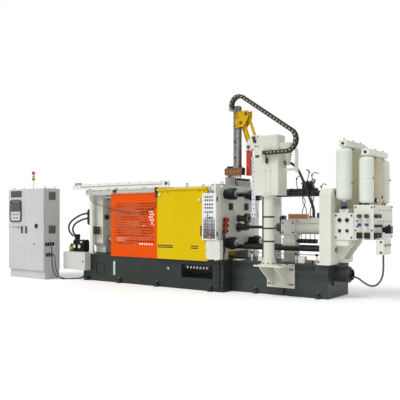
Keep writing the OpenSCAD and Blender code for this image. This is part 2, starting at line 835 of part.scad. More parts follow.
module centre_flange() {
    teeth = 16;
    start = fixed_platen_t;
    end = start + 250;
    color("dimgray") difference() {
        union() {
            bar_x(120, start, end, 0, platen_centre_z);
            bar_x(centre_flange_d, end - 75, end, 0, platen_centre_z);
            bar_x(150, start, start + 30, 0, platen_centre_z);
        }
        for (i = [0:teeth - 1]) {
            translate([0, 0, platen_centre_z]) rotate([360 * i / teeth, 0, 0])
                block([end - 76, -9, centre_flange_d / 2 - 16], [end + 1, 9, centre_flange_d / 2 + 5]);
        }
        bar_x(60, end - 40, end + 1, 0, platen_centre_z);
    }
}

module shot_sleeve() {
    color("dimgray") difference() {
        union() {
            bar_x(sleeve_d, 0, sleeve_end_x, 0, shot_z);
            bar_x(sleeve_d + 44, fixed_platen_t, fixed_platen_t + 36, 0, shot_z - 8);
        }
        bar_x(sleeve_bore_d, -1, sleeve_end_x + 1, 0, shot_z);
        block([sleeve_end_x - 190, -36, shot_z], [sleeve_end_x - 60, 36, shot_z + sleeve_d]);
    }
}

module plunger_rod() {
    color("gray") {
        bar_x(sleeve_bore_d - 1, sleeve_end_x - 55, sleeve_end_x - 5, 0, shot_z);
        bar_x(60, sleeve_end_x - 6, coupling_x - 99, 0, shot_z);
        for (i = [0:3]) {
            translate([0, 0, shot_z]) rotate([45 * i, 0, 0])
                block([coupling_x - 100, -60, -60], [coupling_x + 1, 60, 60]);
        }
        slab_x(coupling_x, coupling_x + coupling_t) translate([0, shot_z + 45]) rounded(200, 350, 20);
        block([coupling_x - 10, -50, shot_z + 165], [coupling_x + 80, 40, shot_z + 225]);
        bar_x(piston_rod_d, coupling_x + coupling_t - 1, piston_end_x, 0, shot_z);
    }
}

module shot_cylinder() {
    block_end = shot_block_x + shot_block_l;
    half = shot_block_w / 2;
    color("darkgray") difference() {
        union() {
            slab_x(shot_block_x, block_end) translate([0, shot_z]) chamfered(shot_block_w, shot_block_w, 40);
            bar_x(shot_cylinder_d, block_end - 1, injection_frame_x, 0, shot_z);
            bar_x(shot_cylinder_d + 90, injection_frame_x - 60, injection_frame_x, 0, shot_z);
            block([shot_block_x + 40, -half + 30, bed_h], [block_end - 40, half - 30, shot_z - half + 1]);
            block([block_end + 60, -110, shot_z + shot_cylinder_d / 2 - 30],
                [injection_frame_x - 60, 110, shot_z + shot_cylinder_d / 2 + 70]);
            bar_z(74, 2070, -70, shot_z + shot_cylinder_d / 2 + 69, 1490);
        }
        bar_x(piston_rod_d + 2 * pin_clearance, shot_block_x - 1, piston_end_x + 20, 0, shot_z);
    }
}

module injection_rod_places() {
    for (y = [-1, 1], z = [injection_rod_low_z, injection_rod_high_z]) {
        translate([0, y * injection_rod_pitch_y / 2, z]) children();
    }
}

module injection_tie_rods() {
    color("black") injection_rod_places() {
        bar_x(injection_rod_d, fixed_platen_t - 200, injection_frame_end + 12, 0, 0);
        bar_x(injection_rod_d + 46, fixed_platen_t, fixed_platen_t + 64, 0, 0);
        bar_x(injection_rod_d + 46, injection_frame_x - 60, injection_frame_x, 0, 0);
    }
}

module injection_frame() {
    half = 520;
    top = 2000;
    color("gainsboro") difference() {
        union() {
            slab_x(injection_frame_x, injection_frame_end)
                polygon([[-half, bed_h + 20], [half, bed_h + 20], [half, top - 90], [half - 90, top],
                    [-half + 90, top], [-half, top - 90]]);
            block([injection_frame_x - 40, -half - 20, bed_h],
                [min(injection_frame_end + 30, injection_bed_end + 60), half + 20, bed_h + 30]);
        }
        injection_rod_places() bar_x(injection_rod_d + 2 * pin_clearance, injection_frame_x - 1,
            injection_frame_end + 1, 0, 0);
    }
}

// Accumulators

module valve_blocks() {
    low = valve_block_low_z;
    foot_x = injection_frame_end + 60;
    rib_x = injection_frame_end + 305;
    color("gainsboro") {
        block([injection_frame_end, -400, low], [middle_block_x, 560, valve_block_top_z]);
        block([middle_block_x - 1, end_block_front_y, low + 5], [end_block_x, 610, end_block_top_z]);
        block([front_row_x - 85, -330, valve_block_top_z - 1], [front_row_x + 85, 540, valve_block_top_z + 74]);
        block([injection_frame_end, -380, low - 110], [injection_frame_end + 270, -120, low + 1]);
        for (y = [-200, 160]) {
            slab_y(y, y + 40) polygon([[injection_frame_end, 690], [foot_x, 690], [rib_x, low - 60],
                [rib_x, low + 1], [injection_frame_end, low + 1]]);
        }
    }
}

// A pressure bottle standing at x, y with a domed top and bottom
module bottle(x, y, d, low_z, top_z, neck_d) {
    shoulder = d * 0.22;
    translate([x, y, low_z]) rotate_extrude() polygon(concat(
        [[0, 0], [d * 0.3, 0]],
        [for (a = [0:15:90]) [d / 2 - d * 0.2 + d * 0.2 * sin(a), shoulder - shoulder * cos(a)]],
        [for (a = [0:15:90]) [neck_d / 2 + (d - neck_d) / 2 * cos(a), top_z - low_z - shoulder - 30 + shoulder * sin(a)]],
        [[neck_d / 2, top_z - low_z], [0, top_z - low_z]]));
}

module nitrogen_bottles() {
    color("whitesmoke") {
        for (i = [0, 2]) {
            bottle(front_row_x, front_row_y[i], front_bottle_d, valve_block_top_z + 234, front_row_top_z, 70);
            bottle(end_row_x, end_row_y[i], end_bottle_d, end_block_top_z + 30, end_row_top_z, 66);
            bar_z(70, front_row_x, front_row_y[i], valve_block_top_z + 74, valve_block_top_z + 235);
            bar_z(70, end_row_x, end_row_y[i], end_block_top_z, end_block_top_z + 31);
        }
    }
}

module piston_accumulator(x, y, low_z, top_z) {
    bar_z(piston_bottle_d, x, y, low_z, top_z);
    for (z = [low_z, top_z - 60]) {
        bar_z(piston_bottle_d + 14, x, y, z, z + 60);
    }
    bar_z(60, x, y, top_z - 1, top_z + 40);
}

module piston_accumulators() {
    color("darkkhaki") {
        piston_accumulator(front_row_x, front_row_y[1], valve_block_top_z + 74, front_row_top_z - 40);
        piston_accumulator(end_row_x, end_row_y[1], end_block_top_z, end_row_top_z - 40);
    }
}

module accumulator_header(x, places, z, h) {
    block([x - 70, places[0] - 62, z], [x + 70, places[2] + 62, z + h]);
    for (y = places) {
        bar_z(44, x, y, z + h - 1, z + h + 26);
    }
}

module accumulator_headers() {
    color("gainsboro") {
        accumulator_header(front_row_x, front_row_y, front_row_top_z, 110);
        accumulator_header(end_row_x, end_row_y, end_row_top_z, 105);
    }
}

module valve_fittings() {
    side = end_block_x;
    front = end_block_front_y;
    color("black") {
        for (y = [-320, -180]) {
            bar_x(66, side, side + 52, y, 1500);
            bar_x(46, side, side + 80, y, 1330);
            block([side, y - 44, 1120], [side + 64, y + 44, 1210]);
        }
        for (x = [side - 240, side - 110]) {
            bar_y(66, x, front - 55, front, 1500);
            bar_y(50, x, front - 70, front, 1350);
        }
        for (x = [side - 290, side - 150]) {
            block([x, front - 45, 1110], [x + 90, front, 1215]);
        }
        block([side + 52, 40, 1190], [side + 160, 160, 1320]);
        block([side, 60, 1210], [side + 53, 140, 1300]);
    }
}

module terminal_box() {
    left = terminal_x - 70;
    color("gray") {
        block([left, -470, 840], [left + 140, -110, 1100]);
        block([end_block_x, -340, 1086], [left + 1, -240, 1098]);
        for (y = [-400, -290, -180]) {
            bar_x(36, left + 139, left + 170, y, 1000);
        }
    }
}

module pump_motor() {
    z = 440;
    y = -120;
    color("dimgray") {
        block([injection_bed_end, y - 150, z - 200], [injection_bed_end + 30, y + 150, z + 170]);
        bar_x(250, injection_bed_end + 29, 2830, y, z);
        for (x = [injection_bed_end + 60:28:2800]) {
            bar_x(300, x, x + 10, y, z);
        }
        bar_x(190, 2829, 2862, y, z);
        block([2640, y - 70, z + 120], [2760, y + 70, z + 190]);
    }
}

// Robot

module robot_stand() {
    plate_left = 1300;
    plate_right = 1882;
    color("beige") {
        difference() {
            union() {
                block([plate_left, -1000, flange_top_z - flange_t], [plate_right, -injection_half_w, flange_top_z]);
                block([plate_left, -injection_half_w - 26, 150], [plate_right, -injection_half_w, flange_top_z - 1]);
            }
            for (x = [plate_left + 50, plate_right - 50], y = [-950, -690]) {
                bar_z(26, x, y, flange_top_z - flange_t - 1, flange_top_z + 1);
            }
        }
        for (x = [1420, 1740]) {
            slab_x(x, x + 24) polygon([[-injection_half_w - 25, 170], [-injection_half_w - 25, flange_top_z - flange_t + 1],
                [-980, flange_top_z - flange_t + 1], [-980, 540]]);
        }
        bar_z(pillar_d, pillar_x, pillar_y, flange_top_z - 1, flange_top_z + pillar_l);
        bar_z(pillar_d + 100, pillar_x, pillar_y, flange_top_z - 1, flange_top_z + 24);
        bar_z(pillar_d + 80, pillar_x, pillar_y, flange_top_z + pillar_l - 1, housing_z);
        for (a = [45:90:315]) {
            translate([pillar_x, pillar_y, flange_top_z]) rotate([0, 0, a]) rotate([90, 0, 0])
                translate([0, 0, -8]) linear_extrude(16)
                polygon([[pillar_d / 2 - 6, 0], [pillar_d / 2 + 45, 0], [pillar_d / 2 + 45, 40], [pillar_d / 2 - 6, 170]]);
        }
    }
}

module robot_housing() {
    right = housing_left + housing_w;
    top = housing_z + housing_h;
    color("beige") {
        difference() {
            block([housing_left, housing_front_y, housing_z], [right, housing_back_y, top]);
            for (x = [1534, 1639]) {
                block([x, housing_front_y - 1, housing_z + 10], [x + 6, housing_front_y + 6, top - 10]);
            }
        }
        block([1390, housing_front_y + 30, top - 1], [1777, housing_back_y - 20, top + 215]);
        block([1776, housing_front_y + 60, top - 50], [2005, housing_back_y - 40, top + 60]);
        translate([1920, -800, top - 340]) cylinder(h = 291, d1 = 60, d2 = 150);
        block([2060, -830, top - 470], [2104, -770, top - 60]);
        block([right - 1, -830, top - 440], [2061, -790, top - 400]);
        bar_x(74, right - 1, 1820, -700, 2480);
        block([chain_end_x - chain_h / 2 - 70, chain_y - chain_w / 2, chain_end_z - 33],
            [chain_end_x - chain_h / 2 - seat_gap, housing_front_y + 1, chain_end_z + 33]);
    }
}

// The pin through a pair of cheeks at a pivot drawn in X and Z
module arm_pin(p) {
    bar_y(arm_pin_d, p[0], arm_y - cheek_gap / 2 - cheek_t - 6, arm_y + cheek_gap / 2 + cheek_t + 6, p[1]);
}

module cheek_pair(outline_points) {
    for (side = [-1, 1]) {
        y = arm_y + side * (cheek_gap / 2 + cheek_t / 2);
        slab_y(y - cheek_t / 2, y + cheek_t / 2) polygon(outline_points);
    }
}

module robot_arm_base() {
    top = housing_z + housing_h;
    color("gray") {
        cheek_pair([[1100, 2730], [housing_left - 9, top - 10], [housing_left - 9, top], [arm_seat_x, top],
            [arm_seat_x, 3000], [1230, 3000], [1100, 2850]]);
        block([arm_seat_x - 59, arm_y - cheek_gap / 2 - 1, top], [arm_seat_x, arm_y + cheek_gap / 2 + 1, top + 60]);
        arm_pin(main_pivot);
        arm_pin(link_pivot);
    }
}

// One arm, a flat bar with an eye at each end and a rib along its middle
module arm(a, b, w, t) {
    difference() {
        union() {
            slab_y(arm_y - t / 2, arm_y + t / 2) link_outline(a, b, w, w * 0.8);
            slab_y(arm_y - cheek_gap / 2 + 6, arm_y + cheek_gap / 2 - 6) {
                translate(a) circle(d = w);
                translate(b) circle(d = w);
            }
        }
        for (p = [a, b]) {
            bar_y(arm_pin_d + 2 * pin_clearance, p[0], arm_y - cheek_gap, arm_y + cheek_gap, p[1]);
        }
    }
}

module robot_main_arm() {
    color("gold") arm(main_pivot, wrist_pivot, main_arm_w, 62);
}

module robot_link_arm() {
    color("gold") arm(link_pivot, wrist_link_pivot, link_arm_w, 34);
}

module robot_wrist() {
    color("gold") {
        difference() {
            cheek_pair([[860, 3180], [1040, 3180], [1140, 3330], [1150, 3480], [860, 3480]]);
            block([865, arm_y - 100, 3410], [905, arm_y + 100, 3460]);
        }
        arm_pin(wrist_pivot);
        arm_pin(wrist_link_pivot);
        block([860, arm_y - cheek_gap / 2 - 1, 3200], [mast_right, arm_y - cheek_gap / 2 + 2, 3470]);
    }
}

module robot_mast() {
    left = mast_right - mast_w;
    color("gray") {
        difference() {
            block([left, arm_y - cheek_gap / 2 + 2, mast_low_z], [mast_right, arm_y + cheek_gap / 2, mast_low_z + mast_h]);
            for (z = [mast_low_z + 80:180:mast_low_z + mast_h - 100]) {
                block([left + 30, arm_y - cheek_gap / 2 + 1, z], [mast_right - 30, arm_y - cheek_gap / 2 + 12, z + 120]);
            }
        }
        block([left, chain_y - chain_w / 2, chain_start_z - chain_h / 2 - 22],
            [left + 80, arm_y - cheek_gap / 2 + 3, chain_start_z - chain_h / 2 - seat_gap]);
    }
}

module spray_head() {
    color("peru") {
        block([632, arm_y - 60, 2280], [1000, arm_y + 60, mast_low_z]);
        block([612, arm_y - 50, 2300], [633, arm_y + 50, mast_low_z - 10]);
        for (x = [680:80:960]) {
            bar_z(24, x, arm_y - 30, 2246, 2281);
            bar_z(24, x, arm_y + 30, 2246, 2281);
        }
    }
}

module robot_rams() {
    rear_cheek = arm_y + cheek_gap / 2 + cheek_t;
    color("firebrick") {
        block([1010, rear_cheek + 5, 2270], [1100, rear_cheek + 90, 2760]);
        block([1099, rear_cheek + 17, 2560], [housing_left, rear_cheek + 60, 2620]);
        block([1130, rear_cheek + 8, 1580], [1208, rear_cheek + 18, 2561]);
        block([1120, rear_cheek + 8, 1480], [1236, rear_cheek + 70, 1581]);
    }
}

// The chain's path in X and Z: up from the mast, over a bend, down a slope, round the loop, back to the housing
function chain_place(s) =
    s < chain_rise ? [chain_x, chain_start_z + s, 90]
    : s < chain_slope_s ? let (h = 90 - (s - chain_rise) / chain_top_r * 57.2958)
        concat(chain_top + chain_top_r * [cos(h + 90), sin(h + 90)], [h])
    : s < chain_loop_s ? concat(chain_slope + (s - chain_slope_s) * [cos(chain_fall), -sin(chain_fall)], [-chain_fall])
    : s < chain_run_s ? let (h = -chain_fall - (s - chain_loop_s) / chain_loop_r * 57.2958)
        concat(chain_loop + chain_loop_r * [cos(h + 90), sin(h + 90)], [h])
    : [chain_loop[0] - (s - chain_run_s), chain_end_z, 180];

module chain_side_outline() {
    for (i = [0:chain_links - 1]) {
        place = chain_place((i + 0.5) * chain_pitch);
        translate([place[0], place[1]]) rotate(place[2]) {
            square([chain_pitch, chain_h - 14], center = true);
            translate([-chain_pitch / 2, 0]) circle(d = chain_h, $fn = 24);
            translate([chain_pitch / 2, 0]) circle(d = chain_h, $fn = 24);
        }
    }
}

// Open links: two side walls, crossbars over and under the cables, and a pin at each joint
module drag_chain() {
    half = chain_w / 2;
    color("black") {
        for (y = [chain_y - half, chain_y + half - chain_wall]) {
            slab_y(y, y + chain_wall) chain_side_outline();
        }
        for (i = [0:chain_links - 1]) {
            place = chain_place((i + 0.5) * chain_pitch);
            translate([place[0], chain_y, place[1]]) rotate([0, -place[2], 0]) {
                for (z = [-chain_h / 2 + 9, chain_h / 2 - 15]) {
                    block([-13, -half + 1, z], [13, half - 1, z + 6]);
                }
            }
        }
        for (i = [1:chain_links - 1]) {
            place = chain_place(i * chain_pitch);
            bar_y(14, place[0], chain_y - half - 3, chain_y - half + 1, place[1]);
            bar_y(14, place[0], chain_y + half - 1, chain_y + half + 3, place[1]);
        }
    }
}

// Control cabinet

module cabinet_shell() {
    w = cabinet_wall;
    color("lightgray") {
        difference() {
            block([cabinet_left, cabinet_front_y, plinth_h], [cabinet_right, cabinet_back_y, cabinet_h]);
            block([cabinet_left + w, cabinet_front_y + 20, plinth_h + w], [cabinet_right - w, cabinet_back_y - w, cabinet_h - w]);
            block([cabinet_left + 30, cabinet_front_y - 1, plinth_h + 30], [cabinet_right - 30, cabinet_front_y + 21, cabinet_h - 30]);
        }
        block([cabinet_left + 10, cabinet_front_y + 20, 0], [cabinet_right - 10, cabinet_back_y - 10, plinth_h + 1]);
        for (z = hinge_heights) {
            frame_knuckle(left_hinge_x, hinge_y, hinge_r, z, 1, cabinet_front_y);
            frame_knuckle(right_hinge_x, hinge_y, hinge_r, z, -1, cabinet_front_y);
        }
        for (x = [cabinet_left + 80, cabinet_right - 80], y = [cabinet_front_y + 80, cabinet_back_y - 80]) {
            bar_z(34, x, y, cabinet_h - 1, cabinet_h + 14);
            translate([x, y, cabinet_h + 36]) rotate([90, 0, 0]) rotate_extrude() translate([20, 0]) circle(d = 12);
        }
    }
}

// The door's half of a hinge, with a bore for the pin; the door lies on the side given by away
module door_knuckle(x, y, r, z, away, door_t) {
    leaf_end = x + away * (r + 4);
    difference() {
        union() {
            bar_z(2 * r, x, y, z, z + knuckle_l);
            block([min(x, leaf_end), y - door_t / 2, z], [max(x, leaf_end), y - 1, z + knuckle_l]);
        }
        bar_z(hinge_pin_d + 2 * pin_clearance, x, y, z - 1, z + knuckle_l + 1);
    }
}

// The frame's half of a hinge, above the door's half, with the pin and an arm back to the frame's side
module frame_knuckle(x, y, r, z, away, frame_y) {
    low = z + knuckle_l + seat_gap;
    side_x = x + away * (r + 1.5);
    bar_z(2 * r, x, y, low, low + knuckle_l);
    bar_z(hinge_pin_d, x, y, z - 4, low + 1);
    block([x - 3, y, low], [x + 3, frame_y + 24, low + knuckle_l]);
    block([min(x, side_x), frame_y + 0.5, low], [max(x, side_x), frame_y + 24, low + knuckle_l]);
}

module cabinet_door_pan(x0, x1) {
    difference() {
        block([x0, door_face_y, plinth_h + 4], [x1, door_face_y + cabinet_door_t, cabinet_h - 4]);
        block([x0 + 20, door_face_y + 3, plinth_h + 24], [x1 - 20, door_face_y + cabinet_door_t + 1, cabinet_h - 24]);
    }
}

module door_handle(x) {
    slab_y(door_face_y - 10, door_face_y + 1) translate([x, 1170]) rounded(46, 176, 16);
    block([x - 9, door_face_y - 30, 1100], [x + 9, door_face_y - 9, 1236]);
}

module cabinet_door_left() {
    color("lightgray") {
        cabinet_door_pan(cabinet_left, door_split_x - 2);
        for (z = hinge_heights) {
            door_knuckle(left_hinge_x, hinge_y, hinge_r, z, 1, cabinet_door_t);
        }
        door_handle(door_split_x - 82);
        slab_y(door_face_y - 14, door_face_y + 1) translate([hmi_x, cabinet_h - 530]) rounded(400, 490, 40);
        slab_y(door_face_y - 6, door_face_y + 1) translate([hmi_x + 20, cabinet_h - 120]) rounded(430, 150, 6);
    }
}

module cabinet_door_right() {
    color("lightgray") {
        cabinet_door_pan(door_split_x + 2, cabinet_right);
        for (z = hinge_heights) {
            door_knuckle(right_hinge_x, hinge_y, hinge_r, z, -1, cabinet_door_t);
        }
        door_handle(door_split_x + 82);
        slab_y(door_face_y - 4, door_face_y + 1) translate([switch_x, switch_z]) rounded(110, 110, 10);
    }
}

module main_switch() {
    color("black") {
        bar_y(76, switch_x, door_face_y - 22, door_face_y - 4.5, switch_z);
        block([switch_x - 12, door_face_y - 48, switch_z - 38], [switch_x + 12, door_face_y - 21, switch_z + 38]);
    }
}

module cable_connectors() {
    x = cabinet_right;
    color("black") {
        for (y = [-1350, -1280, -1210, -1140]) {
            bar_x(48, x, x + 16, y, 830);
            bar_x(34, x + 15, x + 44, y, 830);
        }
        for (y = [-1330, -1255, -1180]) {
            bar_x(44, x, x + 16, y, 580);
            bar_x(30, x + 15, x + 44, y, 580);
        }
    }
}

module tower_light() {
    x = tower_light_x;
    y = -1100;
    color("firebrick") {
        bar_z(64, x, y, cabinet_h, cabinet_h + 20);
        bar_z(24, x, y, cabinet_h + 19, cabinet_h + 230);
        bar_z(76, x, y, cabinet_h + 229, cabinet_h + 440);
    }
}

// Left end

module junction_box() {
    color("whitesmoke") {
        difference() {
            block([box_left, box_front_y, box_low_z], [box_right, box_back_y, box_high_z]);
            block([box_left + 3, box_front_y - 1, box_low_z + 3], [box_right - 3, box_back_y - 3, box_high_z - 3]);
        }
        for (z = box_hinge_heights) {
            frame_knuckle(box_hinge_x, box_front_y - cabinet_door_gap - box_door_t / 2, box_hinge_r, z, 1, box_front_y);
        }
        block([-clamp_bed_left, box_back_y - 1, box_low_z + 80], [box_right - 30, -bed_half_w, box_low_z + 130]);
        block([-clamp_bed_left, box_back_y - 1, box_high_z - 90], [box_right - 30, -bed_half_w, box_high_z - 50]);
    }
}

module junction_box_door() {
    face = box_front_y - cabinet_door_gap - box_door_t;
    color("whitesmoke") {
        difference() {
            block([box_left, face, box_low_z], [box_right, face + box_door_t, box_high_z]);
            block([box_left + 14, face + 3, box_low_z + 14], [box_right - 14, face + box_door_t + 1, box_high_z - 14]);
        }
        bar_y(26, box_right - 60, face - 8, face + 1, (box_low_z + box_high_z) / 2);
        for (z = box_hinge_heights) {
            door_knuckle(box_hinge_x, face + box_door_t / 2, box_hinge_r, z, 1, box_door_t);
        }
    }
}

module left_manifold() {
    color("black") {
        block([-4110, box_back_y + 8, bed_h - 20], [-clamp_bed_left, -540, bed_h]);
        block([-3880, -760, bed_h], [-3510, -580, 900]);
        block([-3870, -750, 899], [-3520, -590, 925]);
        for (x = [-3790, -3615]) {
            bar_y(100, x, -800, -759, 776);
        }
        bar_z(120, -4020, -680, bed_h, 780);
        bar_z(50, -4020, -680, 779, 830);
        for (route = [clamp_hose_upper_route, clamp_hose_lower_route]) {
            port = route[len(route) - 1];
            bar_x(60, port[0], port[0] + 70, port[1], port[2]);
            bar_z(66, port[0] + 45, port[1], 924, port[2] + 30);
        }
    }
}

// Cords

module clamp_hose_upper() {
    color("black") swept_tube(clamp_hose_upper_route, clamp_hose_d, 8, 1);
}

module clamp_hose_lower() {
    color("black") swept_tube(clamp_hose_lower_route, clamp_hose_d, 8, 1);
}

module door_cable() {
    color("black") swept_tube(door_cable_route, 14, 8, 1);
}

module cabinet_cable_black() {
    color("black") swept_tube(cabinet_black_route, 22, 8, 1);
}

module cabinet_cable_blue() {
    color("steelblue") swept_tube(cabinet_blue_route, 20, 8, 1);
}

module right_conduit() {
    color("dimgray") swept_tube(right_conduit_route, 36, 8, 1);
}

module robot_hose() {
    color("dimgray") swept_tube(robot_hose_route, 50, 8, 1);
}

clamp_bed();
injection_bed();
rear_platen();
moving_platen();
fixed_platen();
tie_bars();
tie_bar_nuts();
toggle_linkage();
clamp_cylinder();
guard_posts();
guard_beams();
front_mesh_guard();
rear_mesh_guard();
rear_guard_door();
front_door();
door_bracket();
door_drive();
operator_panel();
panel_cover();
centre_flange();
shot_sleeve();
shot_cylinder();
plunger_rod();
injection_tie_rods();
injection_frame();
valve_blocks();
nitrogen_bottles();
piston_accumulators();
accumulator_headers();
valve_fittings();
terminal_box();
pump_motor();
robot_stand();
robot_housing();
robot_arm_base();
robot_rams();
drag_chain();
robot_main_arm();
robot_link_arm();
robot_wrist();
robot_mast();
spray_head();
cabinet_shell();
cabinet_door_left();
cabinet_door_right();
main_switch();
cable_connectors();
tower_light();
junction_box();
junction_box_door();
left_manifold();
clamp_hose_upper();
clamp_hose_lower();
door_cable();
cabinet_cable_black();
cabinet_cable_blue();
right_conduit();
robot_hose();
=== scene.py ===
"""Looks of a cold chamber die casting machine with its spray robot and control cabinet.

Sizes are metres in the machine's own frame: X runs along the machine towards the injection
end, Y away from the operator and Z up, with the origin on the floor under the die face.
"""

from __future__ import annotations

import logging
import math
from collections.abc import Iterable, Sequence
from dataclasses import dataclass, field
from enum import Enum
from itertools import product

import bmesh
import bpy
from mathutils import Matrix, Vector

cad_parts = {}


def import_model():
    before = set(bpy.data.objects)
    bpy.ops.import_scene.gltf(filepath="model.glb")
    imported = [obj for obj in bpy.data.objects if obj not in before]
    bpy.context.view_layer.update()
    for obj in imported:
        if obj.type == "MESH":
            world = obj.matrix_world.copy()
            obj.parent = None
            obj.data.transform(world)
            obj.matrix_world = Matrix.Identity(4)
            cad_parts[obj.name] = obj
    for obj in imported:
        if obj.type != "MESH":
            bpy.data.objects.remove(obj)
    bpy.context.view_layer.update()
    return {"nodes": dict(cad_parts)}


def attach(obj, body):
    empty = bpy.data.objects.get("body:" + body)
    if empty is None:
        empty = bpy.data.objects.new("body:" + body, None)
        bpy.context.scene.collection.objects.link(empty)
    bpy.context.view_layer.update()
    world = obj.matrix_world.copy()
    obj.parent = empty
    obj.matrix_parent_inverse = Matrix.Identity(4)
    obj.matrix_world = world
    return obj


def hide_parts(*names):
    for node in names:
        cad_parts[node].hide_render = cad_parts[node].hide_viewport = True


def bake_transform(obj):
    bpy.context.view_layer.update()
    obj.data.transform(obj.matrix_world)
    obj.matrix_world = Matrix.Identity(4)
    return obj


log = logging.getLogger("die_casting_machine")

Point = tuple[float, float, float]
Outline = Sequence[tuple[float, float]]
Colour = tuple[int, int, int]

SMOOTH_ANGLE = math.radians(38)
HEXAGON = 6
SMALL_SCREW = 10
CAP_SCREW = 12


class Axis(Enum):
    """A direction of the machine's frame."""

    X = 0
    Y = 1
    Z = 2

    @property
    def vector(self) -> Vector:
        """The unit vector along the axis."""
        return Vector([1.0 if i == self.value else 0.0 for i in range(3)])


class Body(Enum):
    """The machine's rigid bodies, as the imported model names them."""

    FRAME = "root"
    DOOR = "front_door"
    PLUNGER = "plunger"
    MAIN_ARM = "main_arm"
    LINK_ARM = "link_arm"
    WRIST = "wrist"
    CABINET_LEFT = "cabinet_door_left"
    CABINET_RIGHT = "cabinet_door_right"
    SWITCH = "main_switch"
    BOX_LID = "junction_box_door"


def linear(colour: Colour, share: float = 1.0) -> tuple[float, float, float, float]:
    """Turn a display colour into the shader's linear colour.

    Args:
        colour: Red, green and blue, from 0 to 255.
        share: How bright the result is beside the colour itself.

    Returns:
        The linear colour with full alpha.
    """
    parts = []
    for value in colour:
        level = value / 255
        parts.append(level / 12.92 if level <= 0.04045 else ((level + 0.055) / 1.055) ** 2.4)
    return tuple(min(1.0, p * share) for p in parts) + (1.0,)


class Graph:
    """A material's node graph around one principled shader."""

    def __init__(self, name: str) -> None:
        """Start the material and find its shader.

        Args:
            name: The material's name.
        """
        self.material = bpy.data.materials.new(name)
        self.material.use_nodes = True
        self.nodes = self.material.node_tree.nodes
        self.links = self.material.node_tree.links
        self.shader = self.nodes["Principled BSDF"]
        self.place = self.nodes.new("ShaderNodeTexCoord").outputs["Object"]

    def set(self, **values: object) -> None:
        """Set the shader's own sockets; an underscore in a name stands for a space."""
        for name, value in values.items():
            self.shader.inputs[name.replace("_", " ")].default_value = value

    def math(self, operation: str, first: object, second: object) -> bpy.types.NodeSocket:
        """Join two numbers or sockets by one operation.

        Args:
            operation: The name of the math node's operation.
            first: A socket or a number.
            second: A socket or a number.

        Returns:
            The result's socket.
        """
        node = self.nodes.new("ShaderNodeMath")
        node.operation = operation
        for socket, value in zip(node.inputs, (first, second)):
            if isinstance(value, bpy.types.NodeSocket):
                self.links.new(value, socket)
            else:
                socket.default_value = value
        return node.outputs[0]

    def noise(self, scale: float, detail: float = 3.0, stretch: Point = (1, 1, 1)) -> bpy.types.NodeSocket:
        """A cloudy pattern fixed to the piece.

        Args:
            scale: How many cells there are in a metre.
            detail: How many finer octaves are added.
            stretch: How much the pattern is squeezed along each axis.

        Returns:
            The pattern's value, around one half.
        """
        mapping = self.nodes.new("ShaderNodeMapping")
        mapping.inputs["Scale"].default_value = stretch
        self.links.new(self.place, mapping.inputs["Vector"])
        node = self.nodes.new("ShaderNodeTexNoise")
        node.inputs["Scale"].default_value = scale
        node.inputs["Detail"].default_value = detail
        self.links.new(mapping.outputs[0], node.inputs["Vector"])
        return node.outputs["Fac"]

    def span(self, source: bpy.types.NodeSocket, low: float, high: float, to_low: float, to_high: float) -> (
            bpy.types.NodeSocket):
        """Map a value from one range to another and clamp it.

        Args:
            source: The value.
            low: The value that becomes to_low.
            high: The value that becomes to_high.
            to_low: The result at low.
            to_high: The result at high.

        Returns:
            The mapped value's socket.
        """
        node = self.nodes.new("ShaderNodeMapRange")
        for name, value in zip(("From Min", "From Max", "To Min", "To Max"), (low, high, to_low, to_high)):
            node.inputs[name].default_value = value
        self.links.new(source, node.inputs["Value"])
        return node.outputs["Result"]

    def height(self, axis: Axis) -> bpy.types.NodeSocket:
        """The piece's own coordinate along one axis."""
        node = self.nodes.new("ShaderNodeSeparateXYZ")
        self.links.new(self.place, node.inputs[0])
        return node.outputs[axis.value]

    def mix(self, share: bpy.types.NodeSocket, first: object, second: object) -> bpy.types.NodeSocket:
        """Mix two colours or colour sockets.

        Args:
            share: How much of the second there is.
            first: A colour or a colour socket.
            second: A colour or a colour socket.

        Returns:
            The mixed colour's socket.
        """
        node = self.nodes.new("ShaderNodeMix")
        node.data_type = "RGBA"
        self.links.new(share, node.inputs[0])
        for socket, value in ((node.inputs[6], first), (node.inputs[7], second)):
            if isinstance(value, bpy.types.NodeSocket):
                self.links.new(value, socket)
            else:
                socket.default_value = value
        return node.outputs[2]

    def edges(self, width: float) -> bpy.types.NodeSocket:
        """Where the surface turns within a width, from 0 on flat ground to 1 on an edge."""
        bevel = self.nodes.new("ShaderNodeBevel")
        bevel.samples = 4
        bevel.inputs["Radius"].default_value = width
        geometry = self.nodes.new("ShaderNodeNewGeometry")
        dot = self.nodes.new("ShaderNodeVectorMath")
        dot.operation = "DOT_PRODUCT"
        self.links.new(bevel.outputs[0], dot.inputs[0])
        self.links.new(geometry.outputs["Normal"], dot.inputs[1])
        return self.span(dot.outputs["Value"], 0.99, 0.75, 0.0, 1.0)

    def colour(self, source: bpy.types.NodeSocket) -> None:
        """Colour the shader."""
        self.links.new(source, self.shader.inputs["Base Color"])

    def roughness(self, source: bpy.types.NodeSocket) -> None:
        """Drive the shader's roughness."""
        self.links.new(source, self.shader.inputs["Roughness"])

    def bump(self, source: bpy.types.NodeSocket, depth: float) -> None:
        """Raise the surface by a pattern.

        Args:
            source: The pattern, from 0 to 1.
            depth: The pattern's height in metres.
        """
        node = self.nodes.new("ShaderNodeBump")
        node.inputs["Distance"].default_value = depth
        node.inputs["Strength"].default_value = 0.6
        self.links.new(source, node.inputs["Height"])
        self.links.new(node.outputs[0], self.shader.inputs["Normal"])


